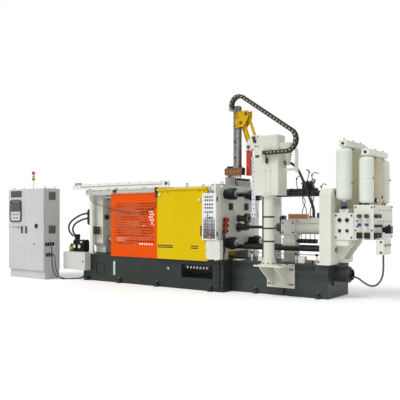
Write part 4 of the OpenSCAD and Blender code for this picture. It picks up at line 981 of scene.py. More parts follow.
@dataclass
class Bed:
    """The cast bed's fittings: bolts, cover plates, sight glass, spray water fittings and pads."""

    front: float = -0.78
    narrow: float = -0.465
    top: float = 0.62
    pads: Sequence[float] = (-3.34, -2.3, -1.2, 0.19)
    narrow_pads: Sequence[float] = (1.05, 2.36)

    def build(self) -> None:
        """Make the bed's pieces."""
        self.pad_nuts()
        self.sight_glass()
        self.cover_plates()
        self.water_fittings()
        self.slideways()

    def pad_nuts(self) -> None:
        """Jacking screws' nuts and rubber pads under the levelling lugs."""
        piece = Workpiece("bed_levelling_screws", BLACK_STEEL)
        for places, edge in ((self.pads, 0.805), (self.narrow_pads, 0.49)):
            for x in places:
                for side in (-1, 1):
                    y = side * edge
                    piece.use(BLACK_STEEL).turned(
                        (x, y, 0.062), UP, [(0, 0.026), (0.018, 0.026), (0.022, 0.022)], HEXAGON)
                    piece.use(GROUND_STEEL).rod((x, y, 0.08), (x, y, 0.124), 0.022, 12)
                    piece.use(BLACK_RUBBER).turned(
                        (x, y, 0.0), UP, [(0, 0.062), (0.01, 0.062), (0.014, 0.056)], 24)
        piece.put(Body.FRAME)

    def sight_glass(self) -> None:
        """The oil level gauge on the left of the bed's front."""
        piece = Workpiece("bed_sight_glass", WHITE_PLASTIC)
        y = self.front
        piece.box((-2.505, y - 0.016, 0.166), (-2.446, y, 0.48), 0.005)
        piece.use(GAUGE_GLASS).box((-2.49, y - 0.02, 0.2), (-2.461, y - 0.013, 0.446), 0.003)
        piece.use(DARK_RED).rod((-2.4755, y - 0.022, 0.21), (-2.4755, y - 0.022, 0.43), 0.004, 8)
        piece.use(BLACK_STEEL).bolts([(-2.4755, y - 0.016, 0.182), (-2.4755, y - 0.016, 0.464)], FRONT, 0.014)
        piece.put(Body.FRAME)

    def cover_plates(self) -> None:
        """Bolted covers in the bed's recess and on the injection bed, with the seam between the beds."""
        # The covers take the bed paint darkened as painted shade.
        piece = Workpiece("bed_covers", SHADED_BED_PAINT)
        y = self.front
        piece.box((-3.05, y + 0.004, 0.166), (-2.8, y + 0.012, 0.41), 0.003)
        piece.use(BLACK_STEEL).bolts(grid((-3.03, -2.82), y + 0.004, (0.186, 0.39)), FRONT, 0.014)
        for low, high in ((0.56, 1.0), (1.05, 1.56), (1.78, 2.28)):
            for side in (-1, 1):
                edge = side * (-self.narrow)
                piece.use(SHADED_BED_PAINT).box(
                    (low, min(edge, edge + side * 0.006), 0.49), (high, max(edge, edge + side * 0.006), 0.59),
                    0.003)
                heads = [(x, edge + side * 0.006, z) for x in (low + 0.03, high - 0.03) for z in (0.51, 0.57)]
                piece.use(BLACK_STEEL).bolts(heads, FRONT * -side, 0.016)
        flange = [(0.475, y - 0.001, z) for z in (0.08, 0.19, 0.56)]
        piece.bolts(flange, FRONT, 0.03)
        piece.bolts(grid(0.326, -0.8, spread(0.07, 0.57, 5)), FRONT, 0.024)
        piece.use(PANEL_WHITE).box((0.5, -0.46, self.top), (0.7, -0.3, self.top + 0.02), 0.004)
        piece.use(WHITE_PLASTIC).box((-0.93, y - 0.03, 0.375), (-0.87, y, 0.425), 0.006)
        piece.use(BRASS).rod((-0.9, y - 0.058, 0.4), (-0.9, y - 0.03, 0.4), 0.026, 12)
        piece.use(BLACK_PLASTIC).rod((-0.9, y - 0.07, 0.4), (-0.9, y - 0.056, 0.4), 0.036, 16)
        piece.put(Body.FRAME)

    def water_fittings(self) -> None:
        """The row of fittings on a pipe under the ceiling of the part chute."""
        piece = Workpiece("chute_water_fittings", DARK_STEEL)
        y, z = -0.72, 0.468
        piece.rod((-0.5, y, z), (0.14, y, z), 0.03, 16)
        for x in (-0.46, -0.18, 0.1):
            piece.box((x - 0.02, y - 0.024, z - 0.02), (x + 0.02, y + 0.024, 0.511), 0.003)
        for x in spread(-0.41, 0.07, 7):
            piece.use(WHITE_PLASTIC).turned(
                (x, y - 0.01, z), FRONT + DOWN, [(0, 0.016), (0.03, 0.016), (0.034, 0.012), (0.05, 0.012),
                (0.053, 0.009)], 12)
        piece.put(Body.FRAME)

    def slideways(self) -> None:
        """The wear strips' cap screws on the slideways and the scrapers at the moving platen's feet."""
        piece = Workpiece("slideway_strips", GROUND_STEEL)
        for y in (-0.47, 0.47):
            for low, high in ((-2.94, -0.98), (-0.57, -0.06)):
                piece.use(GROUND_STEEL).box((low, y - 0.062, 0.6395), (high, y + 0.062, 0.642), 0.001)
            piece.use(BLACK_STEEL).bolts(
                [(x, y + e, 0.6405) for x in spread(-2.85, -1.05, 10) for e in (-0.045, 0.045)], UP, 0.013,
                SMALL_SCREW)
            piece.use(BLACK_RUBBER).box((-0.6, y - 0.085, 0.641), (-0.588, y + 0.085, 0.675), 0.003)
            piece.box((-0.962, y - 0.085, 0.641), (-0.95, y + 0.085, 0.675), 0.003)
        piece.put(Body.FRAME)


@dataclass
class ClampUnit:
    """The clamp's fittings: nut locks, cylinder flange, valve stack, lubrication lines and pin plates."""

    axis_z: float = 1.45
    pitch: tuple[float, float] = (0.47, 0.49)

    def build(self) -> None:
        """Make the clamp's pieces."""
        self.nut_locks()
        self.cylinder_fittings()
        self.valve_stack()
        self.lubrication()
        self.platen_fittings()
        self.cable_posts()

    def corners_of_bars(self) -> list[tuple[float, float]]:
        """The tie bars' places in Y and Z."""
        return [
            (y, self.axis_z + z) for y in (-self.pitch[0], self.pitch[0])
            for z in (-self.pitch[1], self.pitch[1])]

    def nut_locks(self) -> None:
        """The split nuts' clamp and face screws and the end caps of the tie bars."""
        piece = Workpiece("tie_bar_locks", BLACK_STEEL)
        for y, z in self.corners_of_bars():
            for x in (0.47, 0.53):
                for side in (-1, 1):
                    piece.use(BLACK_STEEL).rod(
                        (x, y + side * 0.022, z + 0.117), (x, y + side * 0.022, z + 0.126), 0.022, 12)
            piece.bolts([(0.571, a, b) for a, b in ring((y, z), 0.098, 6, 30)], RIGHT, 0.018, CAP_SCREW)
            piece.use(GROUND_STEEL).turned(
                (0.6, y, z), RIGHT, [(0, 0.07), (0.006, 0.066), (0.0062, 0.02), (-0.01, 0.014)], 32)
            piece.use(BLACK_STEEL).bolts(
                [(-3.41, a, b) for a, b in ring((y, z), 0.098, 6, 0)], LEFT, 0.018, CAP_SCREW)
        piece.put(Body.FRAME)

    def cylinder_fittings(self) -> None:
        """The clamp cylinder's flange bolts, tie rod nuts, head plugs and hose flanges."""
        piece = Workpiece("clamp_cylinder_fittings", BLACK_STEEL)
        z = self.axis_z
        piece.bolts([(-3.36, a, b) for a, b in ring((0, z), 0.195, 12, 15)], LEFT, 0.024)
        piece.bolts([(-4.0, a, b) for a, b in ring((0, z + 0.02), 0.165, 4, 45)], LEFT, 0.034)
        piece.use(GROUND_STEEL).turned(
            (-4.03, 0, z), LEFT, [(0, 0.07), (0.008, 0.066), (0.009, 0.03), (0.03, 0.026), (0.034, 0.02)], 24)
        for place in (1.62, 1.34):
            piece.use(BLACK_STEEL).turned(
                (-3.94, -0.191, place), FRONT, [(0, 0.022), (0.012, 0.022), (0.016, 0.016)], HEXAGON)
        for place in (1.56, 1.44):
            piece.use(BLACK_STEEL).turned(
                (-3.76, -0.192, place), FRONT, [(0, 0.04), (0.008, 0.042), (0.024, 0.042), (0.026, 0.034)],
                HEXAGON)
            piece.use(GROUND_STEEL).turned((-3.76, -0.222, place), FRONT, [(0, 0.031), (0.006, 0.031)], 24)
        for x in (-3.68, -3.6, -3.52, -3.44):
            piece.use(MACHINE_CREAM).turned((x, 0, z), RIGHT, [(0, 0.15), (0.012, 0.15), (0.014, 0.146)], 48)
        piece.put(Body.FRAME)

    def valve_stack(self) -> None:
        """The sandwich valves on the near side of the rear platen, with their solenoids."""
        piece = Workpiece("clamp_valve_stack", BLACK_STEEL)
        y = -0.65
        piece.use(MACHINE_CREAM).box((-3.25, y - 0.03, 1.06), (-3.02, y + 0.001, 1.26), 0.004)
        for k, z in enumerate((1.07, 1.135, 1.2)):
            piece.use(BLACK_STEEL).box((-3.2, y - 0.095, z), (-3.08, y - 0.03, z + 0.052), 0.004)
            piece.use(DARK_STEEL).rod((-3.24, y - 0.062, z + 0.026), (-3.2, y - 0.062, z + 0.026), 0.04, 16)
            piece.use(BLACK_PLASTIC).rod(
                (-3.08, y - 0.062, z + 0.026), (-3.02, y - 0.062, z + 0.026), 0.044, 16)
            piece.box((-3.07, y - 0.1, z + 0.03), (-3.04, y - 0.07, z + 0.05), 0.003)
            piece.use(BRASS).rod(
                (-3.16 + 0.03 * k, y - 0.095, z + 0.026), (-3.16 + 0.03 * k, y - 0.108, z + 0.026), 0.016, 12)
        piece.put(Body.FRAME)

    def lubrication(self) -> None:
        """The grease distributor and its copper lines to the toggle pins."""
        piece = Workpiece("toggle_grease_lines", COPPER)
        for side in (-1, 1):
            y = side * 0.412
            for x, z in (
                    (-2.89, 1.13), (-2.89, 1.77), (-1.04, 1.13), (-1.04, 1.77), (-2.025, 1.13),
                    (-2.025, 1.77)):
                piece.use(GROUND_STEEL).turned(
                    (x, y, z), BACK * side, [(0, 0.052), (0.008, 0.052), (0.01, 0.048)], 24)
                piece.use(BLACK_STEEL).bolts(
                    [(x - 0.028, y + side * 0.01, z), (x + 0.028, y + side * 0.01, z)], BACK * side, 0.014)
                piece.use(BRASS).rod((x, y, z), (x, y + side * 0.03, z), 0.014, 10)
        piece.use(BLACK_STEEL).box((-2.98, -0.6, 1.42), (-2.93, -0.5, 1.52), 0.004)
        for k, (z, high) in enumerate(((1.45, 1.2), (1.49, 1.7))):
            y = -0.59 + 0.04 * k
            piece.use(COPPER).tube(
                [(-2.955, y, z), (-2.92, y, z), (-2.915, y, z + 0.03 * (k * 2 - 1)), (-2.915, y, high),
                (-2.905, y + 0.02, high + 0.04 * (k * 2 - 1)), (-2.9, -0.46, high + 0.06 * (k * 2 - 1))],
                0.008, 8)
        piece.put(Body.FRAME)

    def platen_fittings(self) -> None:
        """Lifting eyes, mould water blocks, the drum on the fixed platen and the valves on its right face."""
        piece = Workpiece("platen_fittings", BLACK_STEEL)
        for x, y in ((0.17, -0.36), (-0.775, -0.3), (-0.775, 0.3), (-3.14, -0.3), (-3.14, 0.3)):
            piece.turned((x, y, 2.12), UP, [(0, 0.03), (0.012, 0.03), (0.016, 0.016), (0.03, 0.014)], 16)
            circle = [Vector((x, y, 2.172)) + Vector((0.03 * math.cos(a), 0, 0.03 * math.sin(a)))
                      for a in [math.tau * i / 20 for i in range(21)]]
            piece.tube(circle, 0.014, 8)
        piece.use(GREY_PLASTIC)
        for x in (0.06, 0.17, 0.28):
            piece.turned(
                (x, -0.5, 2.12), UP, [(0, 0.05), (0.02, 0.05), (0.024, 0.044), (0.03, 0.02), (0.032, 0.0)],
                24)
        piece.use(MOTOR_STEEL).turned(
            (0.17, -0.06, 2.119), UP, [(0, 0.125), (0.036, 0.125), (0.04, 0.1), (0.186, 0.1), (0.19, 0.094)],
            40)
        piece.box((0.06, 0.08, 2.119), (0.28, 0.6, 2.249), 0.006)
        piece.use(BLACK_STEEL).bolts(
            [(a, b, 2.309) for a, b in ring((0.17, -0.06), 0.08, 8, 0)], UP, 0.014, CAP_SCREW)
        piece.turned((0.17, -0.06, 2.308), UP, [(0, 0.035), (0.02, 0.035), (0.024, 0.028)], 24)
        for y in (0.14, 0.3, 0.46):
            piece.use(BLACK_STEEL).box((0.08, y, 2.249), (0.26, y + 0.1, 2.3), 0.005)
            piece.use(DARK_STEEL).rod((0.26, y + 0.05, 2.275), (0.31, y + 0.05, 2.275), 0.04, 16)
        for y in (-0.3, 0.3):
            piece.use(BLACK_STEEL).box((0.34, y - 0.06, 1.62), (0.372, y + 0.06, 1.76), 0.004)
            for z in (1.65, 1.69, 1.73):
                piece.use(BRASS).rod((0.372, y, z), (0.4, y, z), 0.018, 10)
        piece.use(BLACK_STEEL).bolts(
            [(0.376, a, b) for a, b in ring((0, 1.267), 0.084, 6, 30)], RIGHT, 0.014, CAP_SCREW)
        for k in range(3):
            y, z = -0.53 - 0.012 * k, 1.42 - 0.11 * k
            lean = [
                (y - 0.045, z - 0.05), (y + 0.03, z - 0.06), (y + 0.045, z + 0.045), (y - 0.03, z + 0.055)]
            piece.use(BRACKET_RED).plate(lean, Axis.X, 0.338, 0.42, 0.004)
            piece.use(DARK_STEEL).rod((0.42, y, z), (0.45, y, z), 0.05, 16)
            piece.use(BLACK_PLASTIC).box((0.36, y - 0.062, z - 0.03), (0.4, y - 0.034, z + 0.03), 0.004)
        piece.use(BLACK_RUBBER)
        for k, y in enumerate((-0.607, -0.637)):
            piece.hose(
                [(0.38, y + 0.02, 1.2 - 0.05 * k), (0.4, y, 1.12), (0.42 - 0.03 * k, y, 0.98), (0.4, y, 0.8),
                (0.37, y, 0.66), (0.37, y, 0.621)], 0.026)
        piece.put(Body.FRAME)

    def cable_posts(self) -> None:
        """The two posts behind the fixed platen, with their cap and screws."""
        posts = Workpiece("rear_cable_posts", GUARD_CREAM)
        posts.box((0.95, 0.4, 0.62), (1.0, 0.45, 1.915), 0.003).box(
            (1.02, 0.4, 0.62), (1.11, 0.45, 1.915), 0.003)
        posts.box((0.94, 0.39, 1.915), (1.12, 0.46, 1.926), 0.002)
        posts.use(BLACK_STEEL).bolts(grid((0.975, 1.065), 0.4, (0.7, 1.2, 1.85)), FRONT, 0.014, CAP_SCREW)
        posts.put(Body.FRAME)


@dataclass
class PerforatedGuard:
    """A folded sheet with a field of small staggered oval holes."""

    node: str
    side: int
    left: float = -2.572
    right: float = -1.16
    low: float = 0.595
    high: float = 1.995
    outer: float = 0.802
    inner: float = 0.78
    sheet: float = 0.003
    hole: float = 0.04
    pitch: float = 0.058
    stretch: float = 1.2
    field_low: tuple[float, float] = (-2.49, 0.865)
    columns: int = 17
    rows: int = 16

    def cell(self, piece: Workpiece, x: float, z: float, faces: tuple[float, float]) -> None:
        """One pitch of sheet with its hole.

        Args:
            piece: The sheet that gets the cell.
            x: The hole's centre along the machine.
            z: The hole's height.
            faces: The sheet's front and back in Y.
        """
        half, radius = self.pitch / 2, self.hole / 2
        angles = [math.tau * i / 8 for i in range(8)]
        vertices, polygons = [], []
        for y in faces:
            vertices += [
                Vector((x + radius * self.stretch * math.cos(a), y, z + radius * math.sin(a)))
                for a in angles]
            for a in angles:
                reach = half / max(abs(math.cos(a)), abs(math.sin(a)))
                vertices.append(Vector((x + reach * self.stretch * math.cos(a), y, z + reach * math.sin(a))))
        for i in range(8):
            k = (i + 1) % 8
            polygons += [(i, k, 8 + k, 8 + i), (16 + i, 24 + i, 24 + k, 16 + k), (i, 16 + i, 16 + k, k)]
        piece.add(vertices, polygons)

    def build(self) -> None:
        """Make the sheet, its returns and the field of holes."""
        piece = Workpiece(f"{self.node}_sheet", GUARD_ORANGE)
        front, back = self.side * self.outer, self.side * (self.outer - self.sheet)
        near, far = min(front, back), max(front, back)
        x0, z0 = self.field_low
        step = self.pitch * self.stretch
        x1, z1 = x0 + (self.columns + 0.5) * step, z0 + self.rows * self.pitch
        for low, high in (((self.left, self.low), (x0, self.high)), ((x1, self.low), (self.right, self.high)),
                          ((x0, self.low), (x1, z0)), ((x0, z1), (x1, self.high))):
            piece.box((low[0], near, low[1]), (high[0], far, high[1]), 0.0)
        for j in range(self.rows):
            z = z0 + (j + 0.5) * self.pitch
            shift = 0.5 * (j % 2)
            for i in range(self.columns):
                self.cell(piece, x0 + (i + 0.5 + shift) * step, z, (front, back))
            gap = x0 if j % 2 else x1 - 0.5 * step
            piece.box((gap, near, z - self.pitch / 2), (gap + 0.5 * step, far, z + self.pitch / 2), 0.0)
        low_y, high_y = sorted((self.side * self.inner, self.side * self.outer))
        for low, high in (
                ((self.left, self.low), (self.left + self.sheet, self.high)),
                ((self.right - self.sheet, self.low), (self.right, self.high)),
                ((self.left, self.low), (self.right, self.low + self.sheet)),
                ((self.left, self.high - self.sheet), (self.right, self.high))):
            piece.box((low[0], low_y, low[1]), (high[0], high_y, high[1]), 0.0008)
        piece.put(Body.FRAME, [self.node])


@dataclass
class Guards:
    """The guard frame's fittings and the sliding door's furniture."""

    door_front: float = -0.872

    def build(self) -> None:
        """Make the guards' pieces."""
        for node, side in (("front_mesh_guard", -1), ("rear_mesh_guard", 1)):
            PerforatedGuard(node, side).build()
        self.screws()
        self.rail()
        self.door()
        self.bracket()

    def screws(self) -> None:
        """The screws that hold the sheets, the post feet and the black block on the beam."""
        piece = Workpiece("guard_screws", BLACK_STEEL)
        for side in (-1, 1):
            y = side * 0.802
            out = BACK * side
            piece.bolts(grid((-2.545, -1.187), y, spread(0.66, 1.93, 5)), out, 0.014, CAP_SCREW)
            piece.bolts(grid(spread(-2.3, -1.4, 4), y, (0.625, 1.968)), out, 0.014, CAP_SCREW)
            for x in (-3.241, -2.527, -1.155, 0.105):
                low_y, high_y = sorted((side * 0.7, side * 0.778))
                piece.use(GUARD_CREAM).box((x - 0.075, low_y, 0.62), (x + 0.075, high_y, 0.632), 0.002)
                piece.use(BLACK_STEEL).bolts(
                    [(x - 0.062, side * 0.745, 0.632), (x + 0.062, side * 0.745, 0.632)], UP, 0.016)
            piece.bolts(grid(spread(-3.36, -2.7, 4), side * 0.78, 2.08), out, 0.016, CAP_SCREW)
        piece.use(BLACK_PLASTIC).box((-2.504, -0.82, 2.015), (-2.395, -0.8, 2.085), 0.006)
        piece.use(GROUND_STEEL).box((-3.2, -0.815, 1.9), (-2.62, -0.8, 1.93), 0.003)
        piece.bolts(grid(spread(-3.15, -2.67, 5), -0.815, 1.915), FRONT, 0.012, SMALL_SCREW)
        piece.use(WHITE_PLASTIC)
        for x, z in ((-3.36, 0.65), (-3.25, 0.66)):
            piece.box((x - 0.03, -0.72, 0.62), (x + 0.03, -0.66, z + 0.03), 0.008)
        piece.put(Body.FRAME)

    def rail(self) -> None:
        """The door drive's end caps, band, screws and sensors."""
        piece = Workpiece("door_drive_fittings", BLACK_PLASTIC)
        y = -0.904
        piece.use(GROUND_STEEL).box((-3.47, y - 0.004, 2.16), (-0.96, y + 0.002, 2.18), 0.001)
        piece.use(BLACK_STEEL).bolts(grid(spread(-3.45, -1.0, 9), y, 2.215), FRONT, 0.013, CAP_SCREW)
        piece.use(BLACK_PLASTIC)
        for x in (-3.6, -3.48):
            piece.box((x - 0.04, y - 0.03, 2.237), (x + 0.04, y + 0.03, 2.262), 0.006)
        piece.box((-0.9, y - 0.004, 2.15), (-0.835, y + 0.008, 2.21), 0.004)
        piece.use(BRASS).rod((-3.66, -0.86, 2.221), (-3.66, -0.86, 2.245), 0.024, 12)
        piece.use(BLACK_STEEL).bolts(grid(-3.724, (-0.88, -0.85), (2.14, 2.2)), LEFT, 0.014)
        piece.put(Body.FRAME)

    def door(self) -> None:
        """The sliding door's folded top, stripes, knobs, grip and stiffening ribs."""
        y = self.door_front
        piece = Workpiece("door_furniture", DOOR_YELLOW)
        fold = [
            (y - 0.0005, 2.03), (y - 0.018, 2.03), (y - 0.024, 2.036), (y - 0.024, 2.068), (y - 0.018, 2.074),
            (y + 0.001, 2.074), (y + 0.001, 2.07), (y - 0.016, 2.07), (y - 0.02, 2.066), (y - 0.02, 2.038),
            (y - 0.016, 2.034), (y - 0.0005, 2.034)]
        piece.plate(fold, Axis.X, -1.138, 0.158, 0.0)
        for x in (-1.13, 0.148):
            piece.box((x - 0.006, y - 0.004, 0.62), (x + 0.006, y + 0.001, 2.03), 0.002)
        piece.use(RIBBON_BLACK)
        for low, high, z in ((-1.135, -0.707, 0.887), (-1.135, -0.707, 0.848), (-0.24, -0.064, 0.894),
                             (-0.24, -0.064, 0.852)):
            piece.box((low, y - 0.0016, z - 0.011), (high, y + 0.001, z + 0.011), 0.0004)
        piece.use(WHITE_PLASTIC)
        for x, z in ((-1.058, 1.941), (-0.014, 1.82)):
            piece.turned(
                (x, y, z), FRONT, [(0, 0.014), (0.012, 0.012), (0.018, 0.024), (0.032, 0.026), (0.04, 0.018),
                (0.042, 0.0)], 24)
        piece.use(BLACK_PLASTIC).box((-0.004, y + 0.004, 1.1), (0.026, y + 0.012, 1.3), 0.004)
        piece.use(BLACK_STEEL).bolts(grid((-0.98, -0.84), y, 1.99), FRONT, 0.016, CAP_SCREW)
        piece.bolts(grid((-0.02, 0.09), y, 2.0), FRONT, 0.016, CAP_SCREW)
        for x in (-1.01, 0.03):
            piece.use(GROUND_STEEL).rod((x, y - 0.004, 2.0753), (x, y + 0.012, 2.0753), 0.024, 16)
        piece.put(Body.DOOR)

    def bracket(self) -> None:
        """The cable bracket's screws and its cable gland."""
        piece = Workpiece("door_bracket_fittings", GROUND_STEEL)
        piece.bolts(grid(-1.12, -0.878, (1.93, 2.04)), FRONT, 0.014, CAP_SCREW)
        piece.use(BLACK_PLASTIC).turned(
            (-1.178, -0.834, 1.899), DOWN, [(0, 0.017), (0.012, 0.017), (0.017, 0.012)], HEXAGON)
        piece.put(Body.DOOR)


@dataclass
class OperatorPanel:
    """The push buttons, lamps and latches of the operator's panel and its cover."""

    face: float = -0.946
    columns: Sequence[float] = (0.175, 0.228, 0.281, 0.334)
    upper_rows: Sequence[float] = (1.874, 1.81, 1.727, 1.66, 1.577)
    lower_rows: Sequence[float] = (1.40, 1.345, 1.29, 1.235, 1.18, 1.13)
    lamp_row: float = 1.467
    key_shades: Sequence[int] = (72, 112, 146, 176)

    def build(self) -> None:
        """Make the panel's pieces."""
        self.keys()
        self.cover()

    def button(self, piece: Workpiece, finish: Finish, x: float, z: float, radius: float = 0.014) -> None:
        """One push button with its bezel.

        Args:
            piece: The panel's piece.
            finish: The finish of the button's cap.
            x: Its place along the machine.
            z: Its height.
            radius: The cap's radius.
        """
        piece.use(BLACK_PLASTIC).turned(
            (x, self.face, z), FRONT, [(0, radius * 1.35), (0.003, radius * 1.35), (0.004, radius * 1.1)], 16)
        piece.use(finish).turned(
            (x, self.face - 0.003, z), FRONT, [(0, radius), (0.007, radius), (0.009, radius * 0.8)], 16)

    def keys(self) -> None:
        """The two plates with their rows of buttons, and the emergency stop."""
        y = self.face
        piece = Workpiece("panel_keys", PANEL_WHITE)
        piece.box((0.122, y - 0.0012, 1.5), (0.404, y + 0.003, 1.92), 0.001)
        for k, shade in enumerate(self.key_shades):
            plate = Moulded(f"key plate {shade}", (shade, shade, shade + 5), rough=0.4)
            piece.use(plate).box(
                (0.122, y - 0.0012, 1.05 + 0.1 * k), (0.404, y + 0.003, 1.15 + 0.1 * k), 0.001)
        for z in self.upper_rows:
            for x in self.columns:
                self.button(piece, BLACK_PLASTIC, x, z)
        self.button(piece, BLACK_PLASTIC, self.columns[1], 1.52)
        for finish, x in zip((WHITE_PLASTIC, LENS_GREEN, DARK_RED, LENS_GREEN), self.columns):
            self.button(piece, finish, x, self.lamp_row, 0.017)
        for z in self.lower_rows[:-1]:
            for x, finish in zip(self.columns, (DARK_STEEL, BLACK_PLASTIC, GREY_PLASTIC, BLACK_PLASTIC)):
                piece.use(finish).box((x - 0.015, y - 0.004, z - 0.013), (x + 0.015, y, z + 0.013), 0.003)
        piece.use(LENS_GREEN).box((0.155, y - 0.004, 1.115), (0.195, y, 1.145), 0.003)
        piece.use(LENS_RED).box((0.2, y - 0.004, 1.07), (0.35, y, 1.1), 0.003)
        piece.turned(
            (0.275, y - 0.003, 1.085), FRONT, [(0, 0.012), (0.034, 0.012), (0.035, 0.024), (0.046, 0.027),
            (0.054, 0.02), (0.056, 0.0)], 24)
        piece.use(BLACK_STEEL)
        for z in (1.83, 1.15):
            piece.box((0.428, y + 0.012, z - 0.045), (0.446, y + 0.04, z + 0.045), 0.004)
        piece.use(GROUND_STEEL).rod((0.1, y + 0.006, 1.06), (0.1, y + 0.006, 1.92), 0.009, 10)
        piece.put(Body.FRAME)

    def cover(self) -> None:
        """The cover's screws, vent slots and the cable glands between cover and panel."""
        piece = Workpiece("panel_cover_fittings", BLACK_STEEL)
        piece.bolts(grid((0.182, 0.502), -0.935, (0.665, 0.83, 1.01)), FRONT, 0.013, CAP_SCREW)
        piece.use(BLACK_PLASTIC)
        for x in (0.24, 0.3, 0.36):
            piece.turned((x, -0.88, 1.022), UP, [(0, 0.016), (0.006, 0.016), (0.009, 0.012)], 12)
        piece.use(MACHINE_CREAM)
        for z in spread(0.72, 0.9, 7):
            piece.box((0.24, -0.934, z), (0.43, -0.9305, z + 0.01), 0.001)
        piece.put(Body.FRAME)


